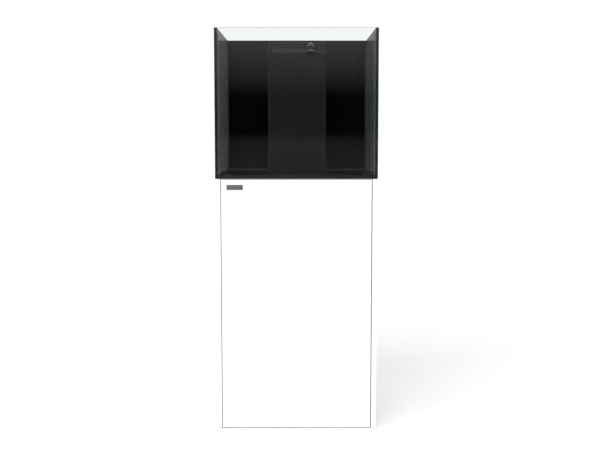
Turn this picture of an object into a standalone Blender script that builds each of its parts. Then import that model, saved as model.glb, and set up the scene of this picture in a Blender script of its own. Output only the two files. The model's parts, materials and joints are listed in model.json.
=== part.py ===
"""Rimless glass aquarium on a white cabinet stand, with its overflow, plumbing and sump.

Frame: metres, +Z up, origin on the floor under the middle of the tank. The front of the
tank and the door face -Y. Each function below builds one sub-assembly from the driving
dimensions; pieces that touch keep the gap FIT between them.
"""

import math

import bmesh
import bpy
from mathutils import Matrix, Vector

# ---------------------------------------------------------------- fits
FIT = 0.0003             # gap between faces that touch
RUNNING = 0.0005         # gap around a piece that turns or slides
CLEAR = 0.0010           # gap around a piece dropped into a cut-out

# ---------------------------------------------------------------- how finely round shapes are drawn
SIDES = 32               # of a large turned piece
PIPE_SIDES = 24
ROD_SIDES = 16           # of pins, screws and their holes
BEND_STEPS = 6           # in a quarter turn
SHARP = math.radians(35)  # edges sharper than this stay hard

# ---------------------------------------------------------------- tank
TANK_WIDTH = 0.600
TANK_DEPTH = 0.570
TANK_HEIGHT = 0.550
GLASS = 0.010            # thickness of every tank pane
BOND = 0.0006            # silicone bed between two panes
GLASS_EDGE = 0.0005      # polished arris on the pane edges
SEAL_LEG = 0.005         # leg of the silicone fillets inside the corners
SEAL_DROP = 0.020        # the upright fillets stop this far below the rim
MAT = 0.001              # foam mat under the tank
MAT_INSET = 0.004

# ---------------------------------------------------------------- overflow
WEIR_WIDTH = 0.240
WEIR_DEPTH = 0.120
WEIR_WALL = 0.004
WEIR_RADIUS = 0.020      # outer radius of the two upright front corners
COMB_HEIGHT = 0.043
COMB_DROP = 0.017        # top of the comb below the rim
COMB_RAIL = 0.003        # rail that joins the teeth along the top
SLOT_PITCH = 0.008
SLOT_WIDTH = 0.004
SLOT_SHORT = 0.024
SLOT_LONG = 0.036
SKIRT = 0.010            # tongue of the comb inside the box
SKIRT_WALL = 0.0025
CORNER_SLOTS = (22, 50, 78)    # degrees round each corner at which a long slot stands
SPARE_LEFT = 1 / 4       # share of the room beside the three fittings that is left of the drain
SPARE_BETWEEN = 1 / 8    # share of it between two fittings
DRAIN_RADIUS = 0.016
DRAIN_WALL = 0.0025
RETURN_RADIUS = 0.0125
RETURN_WALL = 0.003
BARREL_WALL = 0.0037     # of a fitting, round the drain pipe
BARREL_LENGTH = 0.055    # below the underside of the flange
FLANGE_LIP = 0.008       # flange beyond the barrel
FLANGE = 0.006
NUT_LIP = 0.007          # nut beyond the barrel
NUT = 0.010
STANDPIPE_DROP = 0.098   # top of the drain pipe below the rim
EMERGENCY_DROP = 0.070   # top of the emergency pipe below the rim
STRAINER_HEIGHT = 0.045
STRAINER_WALL = 0.003
STRAINER_CUTS = 4        # each cut opens two windows
COUPLING_LENGTH = 0.030
COUPLING_WALL = 0.003
SPOUT_DROP = 0.0295      # middle of the level spout below the rim
SPOUT_BEND = 0.022
SPOUT_DIP = math.radians(30)
DIP_BEND = 0.030
SPOUT_STUB = 0.002       # straight end of the spout
NOTCH_BELOW = 0.003      # room in the comb's notch under the spout, which dips there
BALL_RADIUS = 0.0113
BALL_AHEAD = 0.027       # middle of the ball in front of the weir box
SOCKET_WALL = 0.0047     # round the ball
SOCKET_LENGTH = 0.019
RING_LENGTH = 0.006
NECK_RADIUS = 0.0050
NECK_INSERT = 0.006      # length of the neck inside the fan tip
NOZZLE_REACH = 0.036     # middle of the ball to the mouth
MOUTH_WIDTH = 0.043
MOUTH_HEIGHT = 0.012
MOUTH_WALL = 0.002

# ---------------------------------------------------------------- cabinet
STAND_HEIGHT = 0.9414    # floor to the top of the boards
STAND_INSET = 0.0010     # sides and rear of the stand inside those of the tank
STAND_INSET_FRONT = 0.0015
BOARD = 0.018
REAR_BOARD = 0.012
FLOOR_GAP = 0.002
EDGE = 0.0008            # softened edge of a painted board
REVEAL_LEFT = 0.0025
REVEAL_RIGHT = 0.0030
REVEAL_TOP = 0.0015
REVEAL_BOTTOM = 0.0015
DOOR_BACK_GAP = 0.002    # door to the front edges of the boards behind it
PLUMBING_ROOM = 0.009    # beside the nuts, in the notch in the top board and the mat
PLUMBING_DEPTH = 0.110
CABLE_WIDTH = 0.240      # opening in the rear board
CABLE_HEIGHT = 0.120
CABLE_DROP = 0.300       # middle of the opening below the top of the stand
BADGE_WIDTH = 0.060
BADGE_HEIGHT = 0.018
BADGE = 0.0012
BADGE_FROM_EDGE = 0.0205
BADGE_FROM_TOP = 0.020
CUP_RADIUS = 0.0175
CUP_WALL = 0.002
CUP_DEPTH = 0.012
CUP_FLANGE = 0.023
CUP_FLANGE_THICK = 0.0012
CUP_FROM_EDGE = 0.0245
HINGE_ENDS = 0.105       # end hinges from the ends of the door
ARM_WIDTH = 0.012
ARM_DEPTH = 0.010
ARM_BACK = 0.075         # arm's rear end behind the door
ARM_CLEAR = 0.0015       # arm's front end behind the cup's flange
PLATE = 0.0025
PLATE_LENGTH = 0.040
PLATE_HEIGHT = 0.050
LATCH = 0.016
LATCH_LENGTH = 0.050
LATCH_FROM_EDGE = 0.030
PLUNGER_RADIUS = 0.004
PLUNGER_LENGTH = 0.030
PLUNGER_TRAVEL = 0.003
FOOT_RADIUS = 0.020
FOOT_STEM = 0.004
FOOT_STEM_LENGTH = 0.012
FOOT_INSET = 0.045

# ---------------------------------------------------------------- sump and top-up
SUMP_DEPTH = 0.340
SUMP_HEIGHT = 0.340
SUMP_GLASS = 0.006
SUMP_FROM_SIDE = 0.066   # sump from the left side board
SUMP_FROM_REAR = 0.014
BAFFLE_HEIGHT = 0.220
SHELF = 0.006
SHELF_DEPTH = 0.170
SHELF_DROP = 0.050       # shelf top below the sump's rim
CUP_BODY_RADIUS = 0.050
CUP_BODY_HEIGHT = 0.160
CUP_BODY_WALL = 0.003
CUP_LIP = 0.009
PUMP_WIDTH = 0.080
PUMP_DEPTH = 0.105
PUMP_HEIGHT = 0.085
PUMP_EDGE = 0.006
PUMP_BEHIND = 0.021      # middle of the pump in front of its outlet
PUMP_SPIGOT = 0.025      # outlet inside the lower end of the riser
DRAIN_END = 0.120        # lower end of the drain pipe above the sump's floor
EMERGENCY_END = 0.200
VALVE_DROP = 0.240       # middle of the valve below the top of the stand
VALVE_WALL = 0.0077      # round the drain pipe
VALVE_LENGTH = 0.070
VALVE_SOCKET = 0.023
BONNET_RADIUS = 0.011
BONNET_REACH = 0.040     # from the middle of the valve to the front of its bonnet
LEVER_LENGTH = 0.075
LEVER_WIDTH = 0.014
LEVER = 0.006
HUB_RADIUS = 0.012
RESERVOIR_WIDTH = 0.090
RESERVOIR_DEPTH = 0.260
RESERVOIR_HEIGHT = 0.560
RESERVOIR_WALL = 0.003
RESERVOIR_GAP = 0.012    # between the sump and the reservoir
RESERVOIR_FROM_SIDE = 0.014
LID = 0.004
LID_LIP = 0.012
FEED_RADIUS = 0.004
FEED_OVER = 0.012        # feed line above the sump's rim
FLOAT_RADIUS = 0.018
FLOAT_HEIGHT = 0.030
FLOAT_ARM = 0.060
FLOAT_BAR = 0.006
FLOAT_HEEL = 0.004       # arm behind its pivot
BRACKET = 0.016
BRACKET_HEIGHT = 0.050
PIVOT_RADIUS = 0.002

# ---------------------------------------------------------------- places worked out from them
TANK_FLOOR = STAND_HEIGHT + FIT + MAT + FIT
RIM = TANK_FLOOR + TANK_HEIGHT
TANK_FRONT = -TANK_DEPTH / 2
TANK_REAR = TANK_DEPTH / 2
INNER_X = TANK_WIDTH / 2 - GLASS
INNER_Y = TANK_DEPTH / 2 - GLASS
PANE_TOP = TANK_FLOOR + GLASS
WEIR_BACK = INNER_Y - FIT
WEIR_FRONT = WEIR_BACK - WEIR_DEPTH
COMB_TOP = RIM - COMB_DROP
COMB_FOOT = COMB_TOP - COMB_HEIGHT
DRAIN_BORE = DRAIN_RADIUS - DRAIN_WALL
RETURN_BORE = RETURN_RADIUS - RETURN_WALL
BARREL_RADIUS = DRAIN_RADIUS + FIT + BARREL_WALL
FLANGE_RADIUS = BARREL_RADIUS + FLANGE_LIP
NUT_RADIUS = BARREL_RADIUS + NUT_LIP
SOCKET_RADIUS = BALL_RADIUS + RUNNING + SOCKET_WALL
VALVE_RADIUS = DRAIN_RADIUS + FIT + VALVE_WALL
WEIR_INNER = WEIR_WIDTH / 2 - WEIR_WALL
PIPE_ROOM = 2 * WEIR_INNER - 6 * FLANGE_RADIUS
DRAIN_X = FLANGE_RADIUS + SPARE_LEFT * PIPE_ROOM - WEIR_INNER
PIPE_PITCH = 2 * FLANGE_RADIUS + SPARE_BETWEEN * PIPE_ROOM
RETURN_X = DRAIN_X + 2 * PIPE_PITCH
PIPE_X = (DRAIN_X, DRAIN_X + PIPE_PITCH, RETURN_X)
PIPE_Y = WEIR_BACK - WEIR_DEPTH / 2 + WEIR_WALL / 2
PLUMBING_WIDTH = 2 * (PIPE_PITCH + NUT_RADIUS + PLUMBING_ROOM)
STAND_WIDTH = TANK_WIDTH - 2 * STAND_INSET
STAND_FRONT = TANK_FRONT + STAND_INSET_FRONT
STAND_REAR = TANK_REAR - STAND_INSET
SIDE_INNER = STAND_WIDTH / 2 - BOARD
DOOR_LEFT = -SIDE_INNER + REVEAL_LEFT
DOOR_RIGHT = SIDE_INNER - REVEAL_RIGHT
DOOR_BACK = STAND_FRONT + BOARD
DOOR_BOTTOM = FLOOR_GAP + REVEAL_BOTTOM
DOOR_TOP = STAND_HEIGHT - REVEAL_TOP
BOARDS_FRONT = DOOR_BACK + DOOR_BACK_GAP
BOARDS_REAR = STAND_REAR - REAR_BOARD - FIT
BASE_TOP = FLOOR_GAP + BOARD
CABLE_MIDDLE = STAND_HEIGHT - CABLE_DROP
SUMP_FLOOR = BASE_TOP + FIT
SUMP_INSIDE = SUMP_FLOOR + SUMP_GLASS
SUMP_RIM = SUMP_FLOOR + SUMP_HEIGHT
SUMP_REAR = STAND_REAR - REAR_BOARD - SUMP_FROM_REAR
SUMP_FRONT = SUMP_REAR - SUMP_DEPTH
SUMP_LEFT = SUMP_FROM_SIDE - SIDE_INNER
RESERVOIR_LEFT = SIDE_INNER - RESERVOIR_FROM_SIDE - RESERVOIR_WIDTH
SUMP_RIGHT = RESERVOIR_LEFT - RESERVOIR_GAP
BAFFLE_X = DRAIN_X + PIPE_PITCH / 2
PUMP_TOP = SUMP_INSIDE + FIT + PUMP_HEIGHT
VALVE_Z = STAND_HEIGHT - VALVE_DROP
VALVE_LOW = VALVE_Z - VALVE_LENGTH / 2
VALVE_HIGH = VALVE_Z + VALVE_LENGTH / 2

# ---------------------------------------------------------------- colours, roughness, metallic
FINISHES = {
    "clear_glass": ((0.86, 0.93, 0.91), 0.04, 0.0),
    "black_glass": ((0.020, 0.022, 0.022), 0.25, 0.0),
    "silicone": ((0.62, 0.66, 0.66), 0.35, 0.0),
    "foam": ((0.03, 0.03, 0.03), 0.90, 0.0),
    "black_acrylic": ((0.025, 0.026, 0.027), 0.30, 0.0),
    "black_plastic": ((0.030, 0.030, 0.032), 0.45, 0.0),
    "grey_pvc": ((0.22, 0.23, 0.24), 0.40, 0.0),
    "white_lacquer": ((0.90, 0.90, 0.89), 0.35, 0.0),
    "badge_metal": ((0.42, 0.43, 0.44), 0.35, 0.9),
    "nickel": ((0.70, 0.69, 0.67), 0.25, 1.0),
    "red_plastic": ((0.55, 0.04, 0.03), 0.40, 0.0),
    "white_plastic": ((0.80, 0.81, 0.80), 0.40, 0.0),
}


def clear_scene():
    """Remove every object of the scene."""
    for item in list(bpy.data.objects):
        bpy.data.objects.remove(item, do_unlink=True)


def finish(name):
    """Return the named material, made on its first use."""
    if name in bpy.data.materials:
        return bpy.data.materials[name]
    colour, roughness, metallic = FINISHES[name]
    material = bpy.data.materials.new(name)
    material.use_nodes = True
    shader = material.node_tree.nodes["Principled BSDF"]
    shader.inputs["Base Color"].default_value = (*colour, 1.0)
    shader.inputs["Roughness"].default_value = roughness
    shader.inputs["Metallic"].default_value = metallic
    return material


def make(name, mesh_data, material=None, place=(0.0, 0.0, 0.0), turn=(0.0, 0.0, 0.0), smooth=False):
    """Put a bmesh in the scene as one object, with its faces turned outwards."""
    bmesh.ops.recalc_face_normals(mesh_data, faces=mesh_data.faces)
    mesh = bpy.data.meshes.new(name)
    mesh_data.to_mesh(mesh)
    mesh_data.free()
    if smooth:
        mesh.shade_smooth()
        mesh.set_sharp_from_angle(angle=SHARP)
    piece = bpy.data.objects.new(name, mesh)
    piece.location = place
    piece.rotation_euler = turn
    bpy.context.scene.collection.objects.link(piece)
    if material:
        mesh.materials.append(finish(material))
    return piece


def slab(name, low, high, material=None, edge=0.0):
    """A rectangular board between two opposite corners, with softened edges if asked."""
    low, high = Vector(low), Vector(high)
    data = bmesh.new()
    bmesh.ops.create_cube(data, size=1.0, matrix=Matrix.Diagonal((*(high - low), 1.0)))
    if edge:
        bmesh.ops.bevel(data, geom=data.edges[:], offset=edge, segments=1, affect="EDGES")
    return make(name, data, material, place=(low + high) / 2)


def prism(name, outline, low, high, material=None, turn=(0.0, 0.0, 0.0), place=(0.0, 0.0, 0.0)):
    """A closed outline of (x, y) points, extruded from low to high along its own Z."""
    data = bmesh.new()
    face = data.faces.new([data.verts.new((x, y, low)) for x, y in outline])
    raised = bmesh.ops.extrude_face_region(data, geom=[face])["geom"]
    moved = [item for item in raised if isinstance(item, bmesh.types.BMVert)]
    bmesh.ops.translate(data, verts=moved, vec=(0.0, 0.0, high - low))
    return make(name, data, material, place=place, turn=turn)


def turned(name, outline, material=None, sides=SIDES, place=(0.0, 0.0, 0.0), turn=(0.0, 0.0, 0.0)):
    """A closed outline of (radius, height) points, turned about its own Z axis."""
    data = bmesh.new()
    angles = [2 * math.pi * step / sides for step in range(sides)]
    rings = []
    for radius, height in outline:
        if radius == 0.0:
            rings.append([data.verts.new((0.0, 0.0, height))] * sides)
        else:
            rings.append([data.verts.new((radius * math.cos(a), radius * math.sin(a), height))
                          for a in angles])
    for near, far in zip(rings, rings[1:] + rings[:1]):
        for step in range(sides):
            following = (step + 1) % sides
            corners = [near[step], near[following], far[following], far[step]]
            corners = list(dict.fromkeys(corners))
            if len(corners) > 2:
                data.faces.new(corners)
    return make(name, data, material, place=place, turn=turn, smooth=True)


def tube_outline(outer, inner, low, high):
    """The outline of a plain tube."""
    return [(inner, low), (outer, low), (outer, high), (inner, high)]


def swept_tube(name, path, outer, inner, material, sides=PIPE_SIDES):
    """A tube along a path of (y, z) points in one upright plane, x being 0."""
    data = bmesh.new()
    across = Vector((1.0, 0.0, 0.0))
    points = [Vector((0.0, y, z)) for y, z in path]
    shells = []
    for radius in (outer, inner):
        rings = []
        for index, point in enumerate(points):
            before = points[max(index - 1, 0)]
            after = points[min(index + 1, len(points) - 1)]
            along = (after - before).normalized()
            up = along.cross(across)
            rings.append([data.verts.new(point + radius * (math.cos(a) * across + math.sin(a) * up))
                          for a in (2 * math.pi * step / sides for step in range(sides))])
        shells.append(rings)
    for rings in shells:
        for near, far in zip(rings, rings[1:]):
            for step in range(sides):
                following = (step + 1) % sides
                data.faces.new((near[step], near[following], far[following], far[step]))
    for end in (0, -1):
        wide, narrow = shells[0][end], shells[1][end]
        for step in range(sides):
            following = (step + 1) % sides
            data.faces.new((wide[step], wide[following], narrow[following], narrow[step]))
    return make(name, data, material, smooth=True)


def combine(target, tool, operation):
    """Cut a tool out of a piece, or join it on, and keep the tool as a hidden guide."""
    modifier = target.modifiers.new(operation.lower(), "BOOLEAN")
    modifier.operation = operation
    modifier.solver = "EXACT"
    modifier.object = tool
    tool.hide_render = True
    tool.display_type = "WIRE"


def cut(target, *tools):
    """Take each tool's shape out of a piece."""
    for tool in tools:
        combine(target, tool, "DIFFERENCE")


def join(target, *tools):
    """Make each tool's shape one solid with a piece."""
    for tool in tools:
        combine(target, tool, "UNION")


def pivot(name, place, pieces):
    """Hang pieces on an empty that stands on their joint's axis."""
    axis = bpy.data.objects.new(name, None)
    axis.location = place
    bpy.context.scene.collection.objects.link(axis)
    for piece in pieces:
        piece.parent = axis
        piece.location = piece.location - axis.location
    return axis


# ---------------------------------------------------------------- tank
def build_tank():
    """Five panes, the silicone fillets in their corners and the mat below."""
    side_y = INNER_Y - BOND
    slab("front_pane", (-TANK_WIDTH / 2, TANK_FRONT, TANK_FLOOR),
         (TANK_WIDTH / 2, -INNER_Y, RIM), "clear_glass", GLASS_EDGE)
    slab("rear_pane", (-TANK_WIDTH / 2, INNER_Y, TANK_FLOOR),
         (TANK_WIDTH / 2, TANK_REAR, RIM), "black_glass", GLASS_EDGE)
    slab("left_pane", (-TANK_WIDTH / 2, -side_y, TANK_FLOOR),
         (-INNER_X, side_y, RIM), "clear_glass", GLASS_EDGE)
    slab("right_pane", (INNER_X, -side_y, TANK_FLOOR),
         (TANK_WIDTH / 2, side_y, RIM), "clear_glass", GLASS_EDGE)
    floor = slab("bottom_pane", (-INNER_X + BOND, -INNER_Y + BOND, TANK_FLOOR),
                 (INNER_X - BOND, INNER_Y - BOND, PANE_TOP), "clear_glass", GLASS_EDGE)
    for number, x in enumerate(PIPE_X, 1):
        cut(floor, turned(f"floor_drill_{number}",
                          [(0.0, -GLASS), (BARREL_RADIUS + CLEAR, -GLASS),
                           (BARREL_RADIUS + CLEAR, 2 * GLASS), (0.0, 2 * GLASS)],
                          place=(x, PIPE_Y, TANK_FLOOR)))
    build_seal()
    notched_board("levelling_mat", TANK_WIDTH / 2 - MAT_INSET, TANK_FRONT + MAT_INSET,
                  TANK_REAR - MAT_INSET, STAND_HEIGHT + FIT, STAND_HEIGHT + FIT + MAT, "foam")


def build_seal():
    """Triangular silicone fillets: four uprights joined by a run along the tank floor."""
    x, y = INNER_X - FIT, INNER_Y - FIT
    low = PANE_TOP + FIT
    high = RIM - SEAL_DROP
    weir_edge = WEIR_WIDTH / 2 + FIT

    def upright(name, sx, sy):
        corner = [(sx * x, sy * y), (sx * (x - SEAL_LEG), sy * y), (sx * x, sy * (y - SEAL_LEG))]
        return prism(name, corner, low, high, "silicone")

    def run(name, start, end, inward):
        """A fillet on the tank floor from start to end, with its foot towards inward."""
        base = [Vector((*start, low)), Vector((*end, low))]
        data = bmesh.new()
        rings = []
        for point in base:
            rings.append([data.verts.new(point), data.verts.new(point + SEAL_LEG * Vector((*inward, 0.0))),
                          data.verts.new(point + Vector((0.0, 0.0, SEAL_LEG)))])
        data.faces.new(rings[0])
        data.faces.new(rings[1])
        for step in range(3):
            following = (step + 1) % 3
            data.faces.new((rings[0][step], rings[0][following], rings[1][following], rings[1][step]))
        return make(name, data)

    shift = SEAL_LEG / 5     # the runs start a little inside the uprights, so they join cleanly
    seal = upright("corner_seal", -1, -1)
    join(seal, run("seal_front", (-x + shift, -y), (x - shift, -y), (0, 1)),
         upright("seal_post_fr", 1, -1),
         run("seal_left", (-x, -y + shift), (-x, y - shift), (1, 0)),
         run("seal_right", (x, -y + shift), (x, y - shift), (-1, 0)),
         upright("seal_post_rl", -1, 1), upright("seal_post_rr", 1, 1),
         run("seal_rear_left", (-x + shift, y), (-weir_edge, y), (0, -1)),
         run("seal_rear_right", (weir_edge, y), (x - shift, y), (0, -1)))


def notched_board(name, half_width, front, rear, low, high, material):
    """A flat board with a notch in its rear edge for the plumbing."""
    left, right = PIPE_X[1] - PLUMBING_WIDTH / 2, PIPE_X[1] + PLUMBING_WIDTH / 2
    notch_front = PIPE_Y - PLUMBING_DEPTH / 2
    outline = [(-half_width, front), (half_width, front), (half_width, rear), (right, rear),
               (right, notch_front), (left, notch_front), (left, rear), (-half_width, rear)]
    return prism(name, outline, low, high, material)


# ---------------------------------------------------------------- overflow
def u_wall(name, offset, wall, low, high, material=None, back=WEIR_BACK):
    """An upright wall, U-shaped in plan with round corners, open towards the rear pane.

    offset moves its outer face inwards from the weir box's outer face.
    """
    data = bmesh.new()
    loops = []
    for inset in (offset, offset + wall):
        half = WEIR_WIDTH / 2 - inset
        front = WEIR_FRONT + inset
        radius = WEIR_RADIUS - inset
        plan = [(-half, back)]
        for step in range(BEND_STEPS + 1):
            angle = math.pi + step / BEND_STEPS * math.pi / 2
            plan.append((radius - half + radius * math.cos(angle),
                         front + radius + radius * math.sin(angle)))
        plan += [(-px, py) for px, py in reversed(plan)]
        loops.append([[data.verts.new((px, py, z)) for px, py in plan] for z in (low, high)])
    (outer_low, outer_high), (inner_low, inner_high) = loops
    for near, far in ((outer_low, outer_high), (outer_high, inner_high),
                      (inner_high, inner_low), (inner_low, outer_low)):
        for step in range(len(near) - 1):
            data.faces.new((near[step], near[step + 1], far[step + 1], far[step]))
    for end in (0, -1):
        data.faces.new((outer_low[end], outer_high[end], inner_high[end], inner_low[end]))
    return make(name, data, material)


def build_weir():
    """The black weir box against the rear pane, and the comb on top of it."""
    u_wall("overflow_box", 0.0, WEIR_WALL, PANE_TOP + FIT, COMB_FOOT - FIT, "black_acrylic")

    ledge = WEIR_WALL + FIT + SKIRT_WALL
    comb = u_wall("weir_comb", 0.0, WEIR_WALL, COMB_FOOT, COMB_TOP, "black_acrylic")
    join(comb, u_wall("comb_ledge", WEIR_WALL / 2, ledge - WEIR_WALL / 2,
                      COMB_FOOT + COMB_RAIL / 3, COMB_FOOT + COMB_RAIL, back=WEIR_BACK - WEIR_WALL),
         u_wall("comb_skirt", WEIR_WALL + FIT, SKIRT_WALL, COMB_FOOT - SKIRT,
                COMB_FOOT + COMB_RAIL / 2, back=WEIR_BACK - 2 * WEIR_WALL))

    data = bmesh.new()
    slot_top = COMB_TOP - COMB_RAIL

    def slot(x, y, length, turn):
        """One slot through the wall, at the plan position (x, y), turned about Z."""
        place = Matrix.Translation((x, y, slot_top - length / 2)) @ Matrix.Rotation(turn, 4, "Z")
        shape = Matrix.Diagonal((SLOT_WIDTH, 3 * WEIR_WALL, length, 1.0))
        bmesh.ops.create_cube(data, size=1.0, matrix=place @ shape)

    straight = WEIR_WIDTH / 2 - WEIR_RADIUS
    wall_middle = WEIR_FRONT + WEIR_WALL / 2
    count = int((straight - SLOT_WIDTH) / SLOT_PITCH)
    for number in range(-count, count + 1):
        x = number * SLOT_PITCH
        if abs(x - RETURN_X) > RETURN_RADIUS + CLEAR + SLOT_PITCH / 2:
            slot(x, wall_middle, SLOT_SHORT, 0.0)
    middle_radius = WEIR_RADIUS - WEIR_WALL / 2
    for side in (-1, 1):
        for angle in map(math.radians, CORNER_SLOTS):
            slot(side * (straight + middle_radius * math.sin(angle)),
                 WEIR_FRONT + WEIR_RADIUS - middle_radius * math.cos(angle),
                 SLOT_LONG, side * angle)
        for number in range(1, int((WEIR_DEPTH - WEIR_RADIUS - 2 * SLOT_PITCH) / SLOT_PITCH)):
            slot(side * (WEIR_WIDTH / 2 - WEIR_WALL / 2),
                 WEIR_FRONT + WEIR_RADIUS + number * SLOT_PITCH, SLOT_SHORT, math.pi / 2)
    cut(comb, make("comb_slots", data))
    spout_z = RIM - SPOUT_DROP
    notch_foot = spout_z - RETURN_RADIUS - NOTCH_BELOW
    cut(comb, slab("spout_notch", (RETURN_X - RETURN_RADIUS - CLEAR, WEIR_FRONT - WEIR_WALL, notch_foot),
                   (RETURN_X + RETURN_RADIUS + CLEAR, WEIR_FRONT + 2 * WEIR_WALL, RIM)))


def bulkhead(number, x, pipe_radius):
    """A flanged fitting through the tank floor, its nut, and the bore that takes a pipe."""
    seat = PANE_TOP + FIT
    bore = pipe_radius + FIT
    turned(f"bulkhead_{number}",
           [(bore, seat - BARREL_LENGTH), (BARREL_RADIUS, seat - BARREL_LENGTH), (BARREL_RADIUS, seat),
            (FLANGE_RADIUS, seat), (FLANGE_RADIUS, seat + FLANGE), (bore, seat + FLANGE)],
           "black_plastic", place=(x, PIPE_Y, 0.0))
    nut_top = TANK_FLOOR - FIT
    turned(f"bulkhead_nut_{number}",
           tube_outline(NUT_RADIUS, BARREL_RADIUS + FIT, nut_top - NUT, nut_top),
           "black_plastic", sides=PIPE_SIDES, place=(x, PIPE_Y, 0.0))


def build_overflow_pipes():
    """Drain, emergency and return pipes inside the weir box."""
    drain_x, emergency_x, return_x = PIPE_X
    for number, (x, radius) in enumerate(zip(PIPE_X, (DRAIN_RADIUS, DRAIN_RADIUS, RETURN_RADIUS)), 1):
        bulkhead(number, x, radius)

    standpipe_top = RIM - STANDPIPE_DROP
    turned("drain_standpipe",
           tube_outline(DRAIN_RADIUS, DRAIN_BORE, VALVE_HIGH - VALVE_SOCKET, standpipe_top),
           "grey_pvc", sides=PIPE_SIDES, place=(drain_x, PIPE_Y, 0.0))
    turned("emergency_pipe",
           tube_outline(DRAIN_RADIUS, DRAIN_BORE, SUMP_INSIDE + EMERGENCY_END, RIM - EMERGENCY_DROP),
           "grey_pvc", sides=PIPE_SIDES, place=(emergency_x, PIPE_Y, 0.0))

    inner = DRAIN_RADIUS + RUNNING
    outer = inner + STRAINER_WALL
    lap = STRAINER_HEIGHT / 3
    strainer = turned("drain_strainer",
                      [(inner, -lap), (outer, -lap), (outer, STRAINER_HEIGHT - lap),
                       (0.0, STRAINER_HEIGHT - lap), (0.0, STRAINER_HEIGHT - lap - STRAINER_WALL),
                       (inner, STRAINER_HEIGHT - lap - STRAINER_WALL)],
                      "black_plastic", sides=PIPE_SIDES, place=(drain_x, PIPE_Y, standpipe_top))
    data = bmesh.new()
    window = STRAINER_HEIGHT - lap - 3 * STRAINER_WALL
    for number in range(STRAINER_CUTS):
        turn = Matrix.Rotation((number + 0.5) * math.pi / STRAINER_CUTS, 4, "Z")
        shape = Matrix.Diagonal((3 * outer, outer / 4, window, 1.0))
        bmesh.ops.create_cube(data, size=1.0,
                              matrix=turn @ Matrix.Translation((0, 0, window / 2 + STRAINER_WALL)) @ shape)
    cut(strainer, make("strainer_windows", data, place=(drain_x, PIPE_Y, standpipe_top)))

    spout_z = RIM - SPOUT_DROP
    riser_top = spout_z - SPOUT_BEND - COUPLING_LENGTH / 2
    turned("return_riser", tube_outline(RETURN_RADIUS, RETURN_BORE, PUMP_TOP + FIT, riser_top - FIT),
           "grey_pvc", sides=PIPE_SIDES, place=(return_x, PIPE_Y, 0.0))
    coupling_bore = RETURN_RADIUS + FIT
    turned("riser_coupling",
           tube_outline(coupling_bore + COUPLING_WALL, coupling_bore,
                        riser_top - COUPLING_LENGTH / 2, riser_top + COUPLING_LENGTH / 2),
           "black_plastic", sides=PIPE_SIDES, place=(return_x, PIPE_Y, 0.0))
    build_spout(riser_top)


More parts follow.
